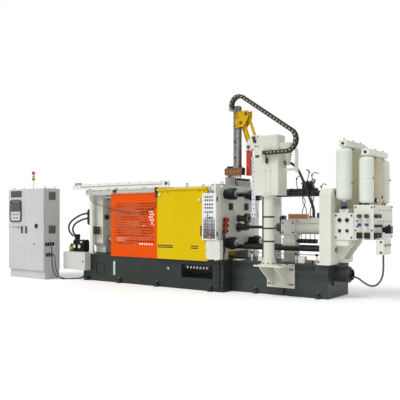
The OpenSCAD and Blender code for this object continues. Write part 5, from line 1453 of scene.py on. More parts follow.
@dataclass
class InjectionUnit:
    """The shot end's fittings: coupling bolts, position switch, cover, plate, valves and pipes."""

    axis_z: float = 1.275
    rods: tuple[float, float, float] = (0.28, 0.885, 1.93)

    def build(self) -> None:
        """Make the injection unit's pieces."""
        self.rod_collars()
        self.pipes_on_rod()
        self.cylinder()
        self.moving_parts()
        self.bed_boxes()

    def rod_collars(self) -> None:
        """Socket screws round the tie rods' collars and the nuts behind the frame."""
        piece = Workpiece("injection_rod_fittings", BLACK_STEEL)
        reach, low, high = self.rods
        for y in (-reach, reach):
            for z in (low, high):
                piece.use(BLACK_STEEL)
                piece.bolts([(0.404, a, b) for a, b in ring((y, z), 0.056, 6, 0)], RIGHT, 0.012, SMALL_SCREW)
                piece.bolts([(2.335, a, b) for a, b in ring((y, z), 0.056, 6, 0)], LEFT, 0.012, SMALL_SCREW)
                piece.use(GROUND_STEEL).turned((2.627, y, z), RIGHT, [(0, 0.036), (0.003, 0.033)], 24)
        piece.use(BLACK_STEEL).bolts(grid(2.375, spread(-0.48, 0.48, 5), 0.65), UP, 0.026)
        piece.bolts(grid(2.395, (-0.47, 0.47), (0.75, 1.3, 1.82)), LEFT, 0.02, CAP_SCREW)
        piece.put(Body.FRAME)

    def pipes_on_rod(self) -> None:
        """The pipes clamped on the near upper rod, with the valve cluster that they feed."""
        piece = Workpiece("upper_rod_pipes", BLACK_RUBBER)
        reach, _, high = self.rods
        y = -reach
        for k, (dy, dz, d) in enumerate(
                ((-0.066, 0.01, 0.042), (-0.052, 0.05, 0.036), (-0.012, 0.07, 0.036), (-0.064, -0.034, 0.03),
                (0.028, 0.064, 0.026))):
            start, end = 1.36 + 0.05 * k, 2.3 - 0.03 * k
            piece.use(BLACK_RUBBER if k != 3 else BLUE_CABLE)
            piece.tube([(start, y + dy * 0.86, high + dz * 0.9), (start + 0.08, y + dy, high + dz),
                        (end - 0.08, y + dy, high + dz), (end, y + dy * 0.9, high + dz * 0.9)], d, 12)
        for x in (1.45, 1.72, 1.99, 2.22):
            piece.use(BLACK_STEEL).turned((x, y, high), RIGHT, [(0, 0.05), (0.03, 0.05)], 24)
            piece.box((x, y - 0.086, high - 0.05), (x + 0.03, y - 0.03, high + 0.088), 0.008)
            piece.box((x, y - 0.05, high + 0.03), (x + 0.03, y + 0.042, high + 0.088), 0.008)
            piece.use(GROUND_STEEL).bolts([(x + 0.015, y - 0.02, high + 0.088)], UP, 0.012)
        piece.use(BLACK_STEEL).box((1.96, y - 0.06, 2.016), (2.17, y + 0.06, 2.07), 0.005)
        for x in (1.985, 2.055, 2.125):
            piece.use(BLACK_STEEL).box((x - 0.026, y - 0.05, 2.07), (x + 0.026, y + 0.05, 2.15), 0.005)
            piece.use(DARK_STEEL).rod((x, y - 0.05, 2.11), (x, y - 0.1, 2.11), 0.036, 16)
            piece.use(BRASS).rod((x, y, 2.15), (x, y, 2.172), 0.02, 12)
        piece.put(Body.FRAME)

    def cylinder(self) -> None:
        """The shot cylinder's bolts, heat plate, cover, ports and hard pipes."""
        piece = Workpiece("shot_cylinder_fittings", BLACK_STEEL)
        z = self.axis_z
        piece.bolts([(1.422, y, z + h) for y in (-0.115, 0.115) for h in (-0.115, 0.115)], LEFT, 0.03)
        piece.bolts(
            [(x, -0.155, z + h) for x in (1.46, 1.68) for h in (-0.09, 0.09)], FRONT, 0.026, CAP_SCREW)
        piece.bolts([(2.335, a, b) for a, b in ring((0, z), 0.147, 10, 18)], LEFT, 0.02)
        piece.use(MACHINE_CREAM).box((1.56, -0.135, 1.43), (2.0, -0.112, 1.545), 0.003)
        piece.use(HEAT_PLATE).box((1.578, -0.142, 1.448), (1.982, -0.134, 1.528), 0.002)
        piece.use(BLACK_STEEL).bolts(grid((1.59, 1.97), -0.142, (1.457, 1.519)), FRONT, 0.009)
        piece.use(MACHINE_CREAM).box((1.47, -0.2, 0.9), (1.75, -0.124, 1.07), 0.012, 2)
        piece.use(BLACK_STEEL).bolts(grid((1.49, 1.73), -0.2, (0.92, 1.05)), FRONT, 0.012, CAP_SCREW)
        piece.use(BLACK_STEEL).box((1.76, -0.1, 0.98), (2.12, 0.02, 1.06), 0.004)
        piece.box((1.68, -0.08, 0.99), (1.762, 0.0, 1.05), 0.003)
        for k, x in enumerate(spread(1.8, 2.08, 4)):
            piece.use(BRASS).rod((x, -0.1, 1.02), (x, -0.13, 1.02), 0.026, 12)
            piece.use(DARK_STEEL).rod((x, -0.13, 1.02), (x, -0.16, 1.02), 0.034, HEXAGON)
            piece.use(GROUND_STEEL).tube(
                [(x, -0.04, 1.058), (x, -0.04, 1.1 + 0.004 * k), (x, -0.03, 1.16)], 0.018, 10)
        for x in (1.84, 1.95, 2.24):
            piece.use(BLACK_STEEL).turned(
                (x, 0.05, 1.467), UP, [(0, 0.03), (0.014, 0.03), (0.018, 0.022), (0.036, 0.02)], HEXAGON)
        piece.use(BLACK_STEEL).box((2.15, -0.1, 1.467), (2.3, 0.0, 1.56), 0.005)
        piece.use(DARK_STEEL).rod((2.19, -0.1, 1.51), (2.19, -0.14, 1.51), 0.045, 18)
        piece.use(BLACK_STEEL).turned(
            (2.07, -0.07, 1.489), UP, [(-0.012, 0.046), (0.0, 0.046), (0.0005, 0.036)], 24)
        for k, (x, tip, top, lean) in enumerate(
                ((1.8, 1.72, 2.28, 0.05), (1.86, 1.84, 2.4, -0.08), (1.93, 2.02, 2.34, 0.06),
                (2.0, 1.95, 2.22, -0.05), (2.1, 2.16, 2.12, 0.04))):
            y = 0.02 + 0.035 * k
            piece.hose(
                [(x, y, 1.46), (x, y, 1.62), (x + lean, y, 1.8), (tip, y - 0.04, 2.0),
                (tip - lean, y, top - 0.06), (tip, y + 0.03, top), (tip + 0.05, y + 0.05, top - 0.03)], 0.016,
                5, 10)
            piece.rod((tip - lean, y, top - 0.075), (tip - lean, y, top - 0.035), 0.03, 10)
        piece.put(Body.FRAME)

    def moving_parts(self) -> None:
        """The coupling's bolts, the switch cam and the cooling elbow, which ride with the plunger."""
        piece = Workpiece("plunger_fittings", BLACK_STEEL)
        piece.bolts(grid(1.36, (-0.078, 0.078), (1.175, 1.465)), LEFT, 0.02)
        piece.bolts(grid(1.36, (-0.078, 0.078), (1.25, 1.39)), LEFT, 0.016, CAP_SCREW)
        piece.use(BRASS).rod((1.3, -0.058, 1.275), (1.3, -0.085, 1.275), 0.026, 12)
        piece.use(BLUE_PLASTIC).rod((1.3, -0.083, 1.275), (1.3, -0.1, 1.275), 0.022, 12)
        piece.use(BLACK_PLASTIC).box((1.37, -0.045, 1.5), (1.43, 0.03, 1.512), 0.003)
        piece.use(GROUND_STEEL).turned(
            (1.255, 0, 1.275), LEFT, [(0, 0.036), (0.03, 0.036), (0.034, 0.031)], HEXAGON)
        piece.put(Body.PLUNGER)

    def bed_boxes(self) -> None:
        """Small boxes, posts and the lubricant pipe on the injection bed's near side."""
        piece = Workpiece("injection_bed_boxes", MACHINE_CREAM)
        y = -0.38
        piece.box((1.06, y - 0.05, 0.62), (1.2, y + 0.05, 0.72), 0.006)
        piece.use(SPRAY_BROWN).box((1.24, y - 0.04, 0.62), (1.32, y + 0.04, 0.7), 0.005)
        piece.use(MACHINE_CREAM).box((1.92, y - 0.05, 0.62), (2.06, y + 0.05, 0.75), 0.006)
        piece.use(SPRAY_BROWN).box((2.1, y - 0.04, 0.62), (2.2, y + 0.04, 0.69), 0.005)
        for x in (0.9, 1.38, 1.86, 2.28):
            piece.use(MACHINE_CREAM).rod((x, y, 0.618), (x, y, 0.775), 0.03, 16)
            piece.use(BLACK_STEEL).box((x - 0.022, y - 0.022, 0.765), (x + 0.022, y + 0.022, 0.805), 0.004)
        piece.use(GROUND_STEEL).rod((0.86, y, 0.785), (2.32, y, 0.785), 0.02, 12)
        piece.use(BLACK_STEEL).bolts(grid((1.09, 1.17, 1.95, 2.03), -0.432, 0.68), FRONT, 0.008, SMALL_SCREW)
        piece.put(Body.FRAME)


@dataclass
class Accumulators:
    """Rings, bands, plugs, gauges and solenoids of the accumulator group and its valve blocks."""

    bottles: Sequence[tuple[float, float, float, float]] = (
        (2.775, -0.3, 0.141, 1.629), (2.775, 0.5, 0.141, 1.629),
        (3.185, -0.3, 0.123, 1.697), (3.185, 0.54, 0.123, 1.697))
    headers: Sequence[tuple[float, Sequence[float], float, float]] = (
        (2.775, (-0.3, 0.12, 0.5), 2.745, 2.855), (3.185, (-0.3, 0.15, 0.54), 2.57, 2.675))

    def build(self) -> None:
        """Make the accumulators' pieces."""
        self.bottle_rings()
        self.header_fittings()
        self.block_screws()
        self.gauges()
        self.motor()

    def bottle_rings(self) -> None:
        """The bottles' hexagon necks, blue and black rings, weld bands and brass tabs."""
        piece = Workpiece("bottle_rings", BLACK_STEEL)
        for x, y, radius, low in self.bottles:
            piece.use(BLACK_STEEL).turned(
                (x, y, low), UP, [(0, 0.062), (0.03, 0.062), (0.034, 0.05), (0.06, 0.05)], HEXAGON)
            piece.use(BLUE_PLASTIC).turned((x, y, low + 0.068), UP, [(0, 0.045), (0.022, 0.045)], 24)
            piece.use(BLACK_STEEL).turned((x, y, low + 0.1), UP, [(0, 0.048), (0.02, 0.048)], 24)
            z = low + 0.46
            piece.use(BOTTLE_WHITE).turned(
                (x, y, z), UP, [(0, radius), (0.001, radius + 0.004), (0.011, radius + 0.004),
                (0.012, radius)], 40)
            piece.use(BRASS).box(
                (x + radius - 0.004, y - 0.02, z - 0.008), (x + radius + 0.03, y + 0.02, z + 0.02), 0.004)
            piece.use(BLACK_STEEL).bolts([(x + radius + 0.018, y - 0.02, z + 0.006)], FRONT, 0.014)
        piece.put(Body.FRAME)

    def header_fittings(self) -> None:
        """The headers' end plugs, cap nuts and charging valves, and the piston bottles' gland bolts."""
        piece = Workpiece("header_fittings", BLACK_STEEL)
        for x, places, low, high in self.headers:
            for y in places:
                piece.use(GROUND_STEEL).turned(
                    (x, y, high + 0.024), UP, [(0, 0.018), (0.014, 0.018), (0.018, 0.012)], HEXAGON)
            middle = (low + high) / 2
            piece.use(BLACK_STEEL)
            piece.turned(
                (x, places[0] - 0.062, middle), FRONT, [(0, 0.026), (0.012, 0.026), (0.016, 0.02)], HEXAGON)
            piece.turned(
                (x, places[2] + 0.062, middle), BACK, [(0, 0.026), (0.012, 0.026), (0.016, 0.02)], HEXAGON)
            for y in spread(places[0] + 0.1, places[2] - 0.1, 4):
                piece.use(BRASS).rod((x - 0.07, y, middle), (x - 0.088, y, middle), 0.018, 10)
        for x, y, high in ((2.775, 0.12, 2.645), (3.185, 0.15, 2.47)):
            piece.use(BLACK_STEEL).bolts(
                [(a, b, high + 0.06) for a, b in ring((x, y), 0.088, 8, 22)], UP, 0.014, CAP_SCREW)
        piece.put(Body.FRAME)

    def block_screws(self) -> None:
        """Socket screws, plugs and the small cartridge valves on the valve blocks."""
        piece = Workpiece("valve_block_screws", BLACK_STEEL)
        piece.bolts(grid((2.66, 2.95), -0.4, (1.12, 1.51)), FRONT, 0.024, CAP_SCREW)
        piece.bolts(grid((3.02, 3.31), -0.385, (1.25, 1.655)), FRONT, 0.022, CAP_SCREW)
        piece.bolts(grid(3.34, (-0.35, 0.58), (1.12, 1.66)), RIGHT, 0.022, CAP_SCREW)
        piece.bolts(grid(3.34, spread(-0.05, 0.5, 4), (1.4, 1.6)), RIGHT, 0.016, CAP_SCREW)
        for x, z, radius in (
                (2.73, 1.43, 0.04), (2.87, 1.43, 0.04), (2.73, 1.24, 0.032), (2.87, 1.24, 0.032)):
            piece.use(BLACK_STEEL).turned(
                (x, -0.4, z), FRONT, [(0, radius), (0.01, radius), (0.014, radius * 0.7),
                (0.03, radius * 0.66)], HEXAGON)
        for z in (1.32, 1.42):
            piece.use(BLUE_PLASTIC).turned(
                (3.05, -0.385, z), FRONT, [(0, 0.016), (0.02, 0.016), (0.024, 0.01)], 12)
        piece.use(GROUND_STEEL)
        for y in (-0.25, 0.1, 0.4):
            piece.turned((2.925, y, 1.555), UP, [(0, 0.03), (0.014, 0.03), (0.018, 0.022)], HEXAGON)
        piece.put(Body.FRAME)

    def gauges(self) -> None:
        """The pressure gauges, digital switches, solenoids and connector plugs."""
        piece = Workpiece("accumulator_gauges", BLACK_PLASTIC)
        for y in (-0.32, -0.18):
            piece.use(BLACK_PLASTIC).turned(
                (3.392, y, 1.5), RIGHT, [(0, 0.036), (0.012, 0.036), (0.016, 0.03)], 24)
            piece.use(DISPLAY).turned((3.407, y, 1.5), RIGHT, [(0, 0.026), (0.0025, 0.026)], 24)
        for x in (3.1, 3.23):
            piece.use(BLACK_PLASTIC).turned(
                (x, -0.44, 1.5), FRONT, [(0, 0.036), (0.012, 0.036), (0.016, 0.03)], 24)
            piece.use(DISPLAY).turned((x, -0.455, 1.5), FRONT, [(0, 0.026), (0.0025, 0.026)], 24)
            piece.use(BLUE_PLASTIC).turned(
                (x, -0.455, 1.35), FRONT, [(0, 0.02), (0.012, 0.02), (0.015, 0.012)], 12)
        for k, (y, z) in enumerate(((0.24, 1.76), (0.33, 1.79), (0.0, 1.75))):
            piece.use(BRASS).rod((3.26, y, 1.695), (3.26, y, z), 0.018, 12)
            piece.use(BLACK_PLASTIC).turned(
                (3.235, y, z + 0.03), RIGHT, [(0, 0.04), (0.036, 0.04), (0.04, 0.036)], 32)
            piece.use(DIAL_WHITE).turned((3.274, y, z + 0.03), RIGHT, [(0, 0.033), (0.002, 0.033)], 32)
            piece.use(BLACK_PLASTIC).box(
                (3.275, y - 0.002, z + 0.03), (3.278, y + 0.002, z + 0.055 - 0.004 * k), 0.0)
        piece.use(SOLENOID_GREEN)
        piece.box((3.4, 0.05, 1.2), (3.502, 0.15, 1.31), 0.008)
        piece.use(BLACK_PLASTIC).box((3.43, 0.07, 1.318), (3.47, 0.13, 1.35), 0.005)
        for y in (-0.4, -0.29, -0.18):
            piece.use(BLACK_PLASTIC).turned(
                (3.58, y, 1.0), RIGHT, [(-0.028, 0.021), (-0.012, 0.021), (-0.006, 0.018)], 12)
        piece.use(BLACK_PLASTIC)
        for z in (1.06, 0.88):
            piece.turned((3.5, -0.47, z), FRONT, [(0, 0.02), (0.008, 0.02), (0.012, 0.012)], 16)
        piece.use(MACHINE_CREAM).box((3.42, -0.474, 0.85), (3.54, -0.469, 1.09), 0.002)
        piece.put(Body.FRAME)

    def motor(self) -> None:
        """The pump motor's fan cover, feet and terminal cover."""
        piece = Workpiece("pump_motor_fittings", MOTOR_GREY)
        y, z = -0.12, 0.44
        piece.bolts([(2.57, a, b) for a, b in ring((y, z), 0.175, 4, 45)], RIGHT, 0.022)
        piece.use(BLACK_STEEL).turned(
            (2.862, y, 0.44), RIGHT, [(-0.03, 0.096), (-0.026, 0.099), (0, 0.096)], 32)
        for a, b in ring((y, z), 0.06, 8, 0):
            piece.use(BLACK_PLASTIC).rod((2.8615, a, b), (2.8635, a, b), 0.02, 10)
        piece.use(BLACK_STEEL).turned(
            (2.858, -0.12, 0.4), RIGHT, [(0, 0.026), (0.006, 0.026), (0.0065, 0.018)], HEXAGON)
        piece.use(MOTOR_GREY).box((2.632, y - 0.078, z + 0.188), (2.768, y + 0.078, z + 0.204), 0.006)
        piece.put(Body.FRAME)


@dataclass
class DragChain:
    """The cable chain of open links from the spray mast over to the robot's housing."""

    y: float = -1.03
    height: float = 0.066
    width: float = 0.09
    wall: float = 0.01
    start: tuple[float, float] = (0.85, 3.535)
    end: tuple[float, float] = (1.56, 2.65)
    rise: float = 0.045
    fall: float = math.radians(34.5)
    top_radius: float = 0.16
    loop_radius: float = 0.205
    split: tuple[float, float] = (1.225, 2.08)

    def __post_init__(self) -> None:
        """Work out the path's corners once."""
        top = (self.start[0] + self.top_radius, self.start[1] + self.rise)
        self.top = top
        self.slope = (
            top[0] + self.top_radius * math.sin(self.fall), top[1] + self.top_radius * math.cos(self.fall))
        loop_z = self.end[1] + self.loop_radius
        run = (self.slope[1] - loop_z - self.loop_radius * math.cos(self.fall)) / math.sin(self.fall)
        self.loop = (
            self.slope[0] + run * math.cos(self.fall) - self.loop_radius * math.sin(self.fall), loop_z)
        self.slope_at = self.rise + self.top_radius * (math.pi / 2 + self.fall)
        self.loop_at = self.slope_at + run
        self.run_at = self.loop_at + self.loop_radius * (math.pi - self.fall)
        length = self.run_at + self.loop[0] - self.end[0]
        self.links = round(length / 0.075)
        self.pitch = length / self.links

    def place(self, s: float) -> tuple[float, float, float]:
        """Where the chain is at a distance along it.

        Args:
            s: The distance from the mast's end.

        Returns:
            X, Z and the heading in radians.
        """
        if s < self.rise:
            return self.start[0], self.start[1] + s, math.pi / 2
        if s < self.slope_at:
            heading = math.pi / 2 - (s - self.rise) / self.top_radius
            return (self.top[0] + self.top_radius * math.cos(heading + math.pi / 2),
                    self.top[1] + self.top_radius * math.sin(heading + math.pi / 2), heading)
        if s < self.loop_at:
            run = s - self.slope_at
            across, down = run * math.cos(self.fall), run * math.sin(self.fall)
            return self.slope[0] + across, self.slope[1] - down, -self.fall
        if s < self.run_at:
            heading = -self.fall - (s - self.loop_at) / self.loop_radius
            return (self.loop[0] + self.loop_radius * math.cos(heading + math.pi / 2),
                    self.loop[1] + self.loop_radius * math.sin(heading + math.pi / 2), heading)
        return self.loop[0] - (s - self.run_at), self.end[1], math.pi

    def link(self, piece: Workpiece, index: int) -> None:
        """One link: two side plates, crossbars and the pins at its start.

        Args:
            piece: The piece that gets the link.
            index: The link's number from the mast.
        """
        x, z, heading = self.place((index + 0.5) * self.pitch)
        turn = Vector((math.cos(heading), 0, math.sin(heading))), Vector(
            (-math.sin(heading), 0, math.cos(heading)))
        half, end = self.height / 2, self.pitch / 2

        def at(along: float, up: float) -> tuple[float, float]:
            """A place in the link's own directions, from its middle."""
            spot = turn[0] * along + turn[1] * up
            return x + spot.x, z + spot.z

        outline = []
        for side, centre in ((1, end), (-1, -end)):
            for k in range(7):
                angle = math.radians(-90 + 30 * k)
                outline.append(at(centre + side * half * math.cos(angle), side * half * math.sin(angle)))
        inset = 0.002 * (index % 2)
        for side in (-1, 1):
            outer = self.y + side * (self.width / 2 - inset)
            inner = outer - side * (self.wall - 0.002)
            piece.use(BLACK_PLASTIC).plate(outline, Axis.Y, min(outer, inner), max(outer, inner), 0.002)
            px, pz = at(-end, 0)
            piece.use(CHAIN_PIN)
            piece.rod(
                (px, self.y + side * (self.width / 2 - 0.006), pz), (px, self.y + side
                * (self.width / 2 + 0.003), pz), 0.022, 12)
        for up in (-half + 0.012, half - 0.012):
            bar = [
                at(a, up + b) for a, b in ((-0.013, -0.003), (0.013, -0.003), (0.013, 0.003),
                (-0.013, 0.003))]
            piece.use(BLACK_PLASTIC).plate(
                bar, Axis.Y, self.y - self.width / 2 + 0.006, self.y + self.width / 2 - 0.006, 0.001)

    def cables(self, piece: Workpiece, first: float, last: float) -> None:
        """The two hoses that lie in the chain.

        Args:
            piece: The piece that gets them.
            first: Where they start along the chain.
            last: Where they end.
        """
        for finish, y, d in ((BLACK_RUBBER, self.y - 0.017, 0.024), (BLUE_CABLE, self.y + 0.014, 0.02)):
            steps = max(3, int((last - first) / 0.03))
            line = [self.place(s) for s in spread(first, last, steps)]
            piece.use(finish).tube([(x, y, z) for x, z, _ in line], d, 8)

    def build(self) -> None:
        """Make the chain in three lengths: with the mast, over the arm, and at the housing."""
        places = [self.place((i + 0.5) * self.pitch) for i in range(self.links)]
        first = next(i for i, p in enumerate(places) if p[0] > self.split[0])
        second = next(i for i, p in enumerate(places) if p[0] > self.split[1])
        spans = (
            ("chain_at_mast", 0, first), ("chain_over_arm", first, second),
            ("chain_at_housing", second, self.links))
        for name, low, high in spans:
            piece = Workpiece(name, BLACK_PLASTIC)
            for i in range(low, high):
                self.link(piece, i)
            self.cables(piece, low * self.pitch, high * self.pitch)
            fixed = name == "chain_at_housing"
            made = piece.put(Body.FRAME if fixed else None, ["drag_chain"])
            if name == "chain_at_mast":
                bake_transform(made)
            elif not fixed:
                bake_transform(made)


@dataclass
class Robot:
    """The spray robot's bolts, pin caps, boxes, hose stubs, nozzles and cable chain."""

    arm_y: float = -0.86
    main_pivot: tuple[float, float] = (1.16, 2.79)
    link_pivot: tuple[float, float] = (1.27, 2.95)
    reach: tuple[float, float] = (-0.17, 0.47)

    def build(self) -> None:
        """Make the robot's pieces."""
        DragChain().build()
        self.stand()
        self.housing()
        self.pins()
        self.arms()
        self.mast()
        self.spray()
        self.ram()

    def stand(self) -> None:
        """The pillar's flange bolts, collar and cable clamps."""
        piece = Workpiece("robot_stand_fittings", BLACK_STEEL)
        for k, (x, y) in enumerate(ring((1.53, -0.82), 0.132, 8, 22.5)):
            piece.use(BLUE_PLASTIC if k % 4 == 1 else BLACK_STEEL).bolts([(x, y, 0.624)], UP, 0.024)
        piece.use(BLACK_STEEL).bolts(grid((1.35, 1.832), (-0.95, -0.69), 0.6), UP, 0.028)
        piece.bolts(grid((1.34, 1.38, 1.8, 1.845), -0.491, (0.22, 0.5)), FRONT, 0.026)
        piece.bolts([(a, b, 1.882) for a, b in ring((1.53, -0.82), 0.12, 8, 0)], DOWN, 0.022)
        for z in (1.02, 1.26, 1.47):
            piece.use(BLACK_PLASTIC).turned(
                (1.53, -0.82, z), UP, [(0, 0.1), (0.002, 0.104), (0.028, 0.104), (0.03, 0.1)], 40)
            piece.box((1.405, -0.85, z - 0.004), (1.435, -0.79, z + 0.034), 0.005)
        piece.use(BLACK_RUBBER).tube([(1.412, -0.82, z) for z in spread(0.66, 1.86, 13)], 0.03, 12)
        piece.use(BLUE_CABLE).tube([(1.41, -0.848, z) for z in spread(0.66, 1.86, 13)], 0.016, 10)
        piece.put(Body.FRAME)

    def housing(self) -> None:
        """The drive housing's screws, cover strip, flared conduit and cable stub."""
        piece = Workpiece("robot_housing_fittings", ROBOT_CREAM)
        y = -0.97
        for x in (1.31, 1.515, 1.56, 1.62, 1.665, 1.785):
            piece.use(GROUND_STEEL).bolts(grid(x, y, (1.92, 2.32, 2.72)), FRONT, 0.012, CAP_SCREW)
        piece.use(BLACK_PLASTIC).box((1.33, y - 0.012, 2.58), (1.41, y, 2.62), 0.004)
        piece.use(ROBOT_CREAM).box((1.39, -0.944, 2.92), (1.777, -0.94, 2.97), 0.001)
        piece.use(GROUND_STEEL).bolts(grid((1.41, 1.757), -0.94, (2.79, 2.9)), FRONT, 0.01, CAP_SCREW)
        piece.bolts(grid((1.43, 1.73), (-0.9, -0.7), 2.977), UP, 0.014)
        piece.use(GREY_CONDUIT)
        for k, z in enumerate(spread(2.43, 2.70, 10)):
            piece.turned((1.92, -0.8, z), UP, [(0, 0.033 + 0.0045 * k), (0.006, 0.034 + 0.0047 * k)], 24)
        piece.use(BLACK_STEEL).turned(
            (1.803, -0.7, 2.48), RIGHT, [(0, 0.046), (0.01, 0.046), (0.014, 0.038)], 8)
        piece.bolts([(2.082, -0.8, 2.702)], UP, 0.02)
        piece.use(BLACK_PLASTIC).box((1.56, -1.016, 2.46), (1.6, -0.97, 2.56), 0.005)
        piece.use(BLACK_RUBBER).tube(
            [(1.58, -1.02, 2.62), (1.58, -1.02, 2.56), (1.58, -0.998, 2.54)], 0.018, 10)
        piece.use(BLACK_STEEL).bolts(grid((1.48, 1.52), -0.985, 2.683), UP, 0.014)
        piece.put(Body.FRAME)

    def cap(self, piece: Workpiece, place: tuple[float, float], radius: float) -> None:
        """A pin's retaining caps on both cheeks.

        Args:
            piece: The piece that gets them.
            place: The pin's X and Z.
            radius: The caps' radius.
        """
        for side in (-1, 1):
            y = self.arm_y + side * 0.08
            piece.use(BLACK_STEEL).turned(
                (place[0], y, place[1]), BACK * side, [(0, radius), (0.006, radius), (0.009, radius * 0.85)],
                24)
            piece.use(GROUND_STEEL).bolts([(place[0], y + side * 0.008, place[1])], BACK * side, 0.018)

    def pins(self) -> None:
        """The caps of the pins in the arm's base and in the wrist plate."""
        piece = Workpiece("arm_base_pins", BLACK_STEEL)
        for place in (self.main_pivot, self.link_pivot):
            self.cap(piece, place, 0.034)
        piece.use(BLACK_STEEL).bolts(
            grid((1.31, 1.36), self.arm_y - 0.08, (2.79, 2.96)), FRONT, 0.018, CAP_SCREW)
        piece.use(BLACK_PLASTIC).box((1.27, -0.965, 2.86), (1.33, -0.94, 2.92), 0.004)
        piece.put(Body.FRAME)
        piece = Workpiece("wrist_pins", BLACK_STEEL)
        for pivot in (self.main_pivot, self.link_pivot):
            self.cap(piece, (pivot[0] + self.reach[0], pivot[1] + self.reach[1]), 0.03)
        piece.use(BLACK_STEEL).bolts(
            grid((0.88, 0.93), self.arm_y - 0.08, (3.22, 3.37)), FRONT, 0.016, CAP_SCREW)
        piece.put(Body.WRIST)

    def arms(self) -> None:
        """The arms' end caps, grease nipples and the small hose along the main arm."""
        for body, pivot, radius, name in (
                (Body.MAIN_ARM, self.main_pivot, 0.044, "main_arm_fittings"),
                (Body.LINK_ARM, self.link_pivot, 0.026, "link_arm_fittings")):
            top = (pivot[0] + self.reach[0], pivot[1] + self.reach[1])
            piece = Workpiece(name, ROBOT_YELLOW)
            half = 0.031 if body is Body.MAIN_ARM else 0.017
            for s in (0.2, 0.8):
                x, z = pivot[0] + self.reach[0] * s, pivot[1] + self.reach[1] * s
                piece.use(BRASS).turned(
                    (x, self.arm_y - half, z), FRONT, [(0, 0.007), (0.006, 0.007), (0.01, 0.004)], 8)
            for place in (pivot, top):
                for side in (-1, 1):
                    piece.use(GROUND_STEEL).turned(
                        (place[0], self.arm_y + side * 0.0535, place[1]), BACK * side,
                        [(0, radius * 0.9), (0.002, radius * 0.86)], 24)
            if body is Body.MAIN_ARM:
                low = [(pivot[0] + self.reach[0] * s - 0.02, self.arm_y - 0.035, pivot[1] + self.reach[1] * s)
                       for s in spread(0.16, 0.84, 6)]
                piece.use(BLACK_RUBBER).tube(low, 0.01, 8)
                for x, y, z in low[::2]:
                    piece.use(BLACK_PLASTIC).box(
                        (x - 0.01, y - 0.007, z - 0.006), (x + 0.01, y + 0.006, z + 0.006), 0.002)
            piece.put(body)

    def mast(self) -> None:
        """The mast's linear rail, end plate and cable clips."""
        piece = Workpiece("mast_fittings", BLACK_PLASTIC)
        piece.box((0.9235, -0.88, 2.43), (0.927, -0.82, 3.57), 0.001)
        piece.use(GROUND_STEEL).box((0.808, -0.9, 2.5), (0.811, -0.82, 3.5), 0.0008)
        piece.use(BLACK_STEEL).bolts(
            grid((0.825, 0.91), -0.918, spread(2.46, 3.15, 5)), FRONT, 0.012, CAP_SCREW)
        piece.use(ROBOT_GREY).box((0.806, -0.922, 3.583), (0.929, -0.796, 3.592), 0.003)
        piece.use(BLACK_STEEL).bolts(grid((0.83, 0.905), (-0.9, -0.82), 3.592), UP, 0.014)
        for x in (0.83, 0.852):
            piece.use(GROUND_STEEL).tube([(x, -0.925, z) for z in spread(2.44, 3.4, 6)], 0.012, 8)
        for z in (2.6, 2.9, 3.2):
            piece.use(BLACK_PLASTIC).box((0.818, -0.935, z), (0.864, -0.917, z + 0.02), 0.003)
        piece.put(Body.WRIST)

    def spray(self) -> None:
        """The spray manifold's black ends, nozzles, valves and feed pipes."""
        piece = Workpiece("spray_head_fittings", SPRAY_BROWN)
        y = self.arm_y
        for x0, x1 in ((0.604, 0.64), (0.985, 1.006)):
            piece.use(BLACK_STEEL).box((x0, y - 0.055, 2.29), (x1, y + 0.055, 2.41), 0.005)
        for x in spread(0.68, 0.92, 4):
            for side in (-1, 1):
                piece.use(COPPER).turned(
                    (x, y + side * 0.03, 2.25), DOWN, [(0, 0.008), (0.03, 0.008), (0.04, 0.004)], 10)
            piece.use(BRASS).turned(
                (x, y - 0.06, 2.35), FRONT, [(0, 0.016), (0.012, 0.016), (0.014, 0.009), (0.034, 0.008)],
                HEXAGON)
            piece.turned((x, y + 0.055, 2.35), BACK, [(0, 0.016), (0.01, 0.016), (0.012, 0.009)], HEXAGON)
            piece.use(BLACK_STEEL).box((x - 0.028, y - 0.045, 2.42), (x + 0.028, y + 0.045, 2.452), 0.004)
            piece.use(GROUND_STEEL).bolts([(x, y - 0.03, 2.452), (x, y + 0.03, 2.452)], UP, 0.01)
        for z in (2.31, 2.34):
            piece.use(COPPER).tube([(0.64, y - 0.066, z), (0.98, y - 0.066, z)], 0.01, 8)
        piece.put(Body.WRIST)

    def ram(self) -> None:
        """The guide bar's holes, bolts and the ram's end cap."""
        piece = Workpiece("guide_bar_fittings", BLACK_STEEL)
        for z in spread(1.64, 2.5, 11):
            piece.turned((1.169, -0.772, z), FRONT, [(0, 0.012), (0.002, 0.012), (0.0025, 0.009)], 16)
        piece.bolts(grid((1.145, 1.21), -0.772, 1.53), FRONT, 0.018, CAP_SCREW)
        piece.bolts(grid(1.055, -0.775, (2.3, 2.73)), FRONT, 0.018)
        piece.use(GROUND_STEEL).rod((1.055, -0.732, 2.76), (1.055, -0.732, 2.83), 0.03, 20)
        piece.use(BLACK_STEEL).turned(
            (1.055, -0.732, 2.83), UP, [(0, 0.026), (0.02, 0.026), (0.024, 0.018)], HEXAGON)
        piece.put(Body.FRAME)


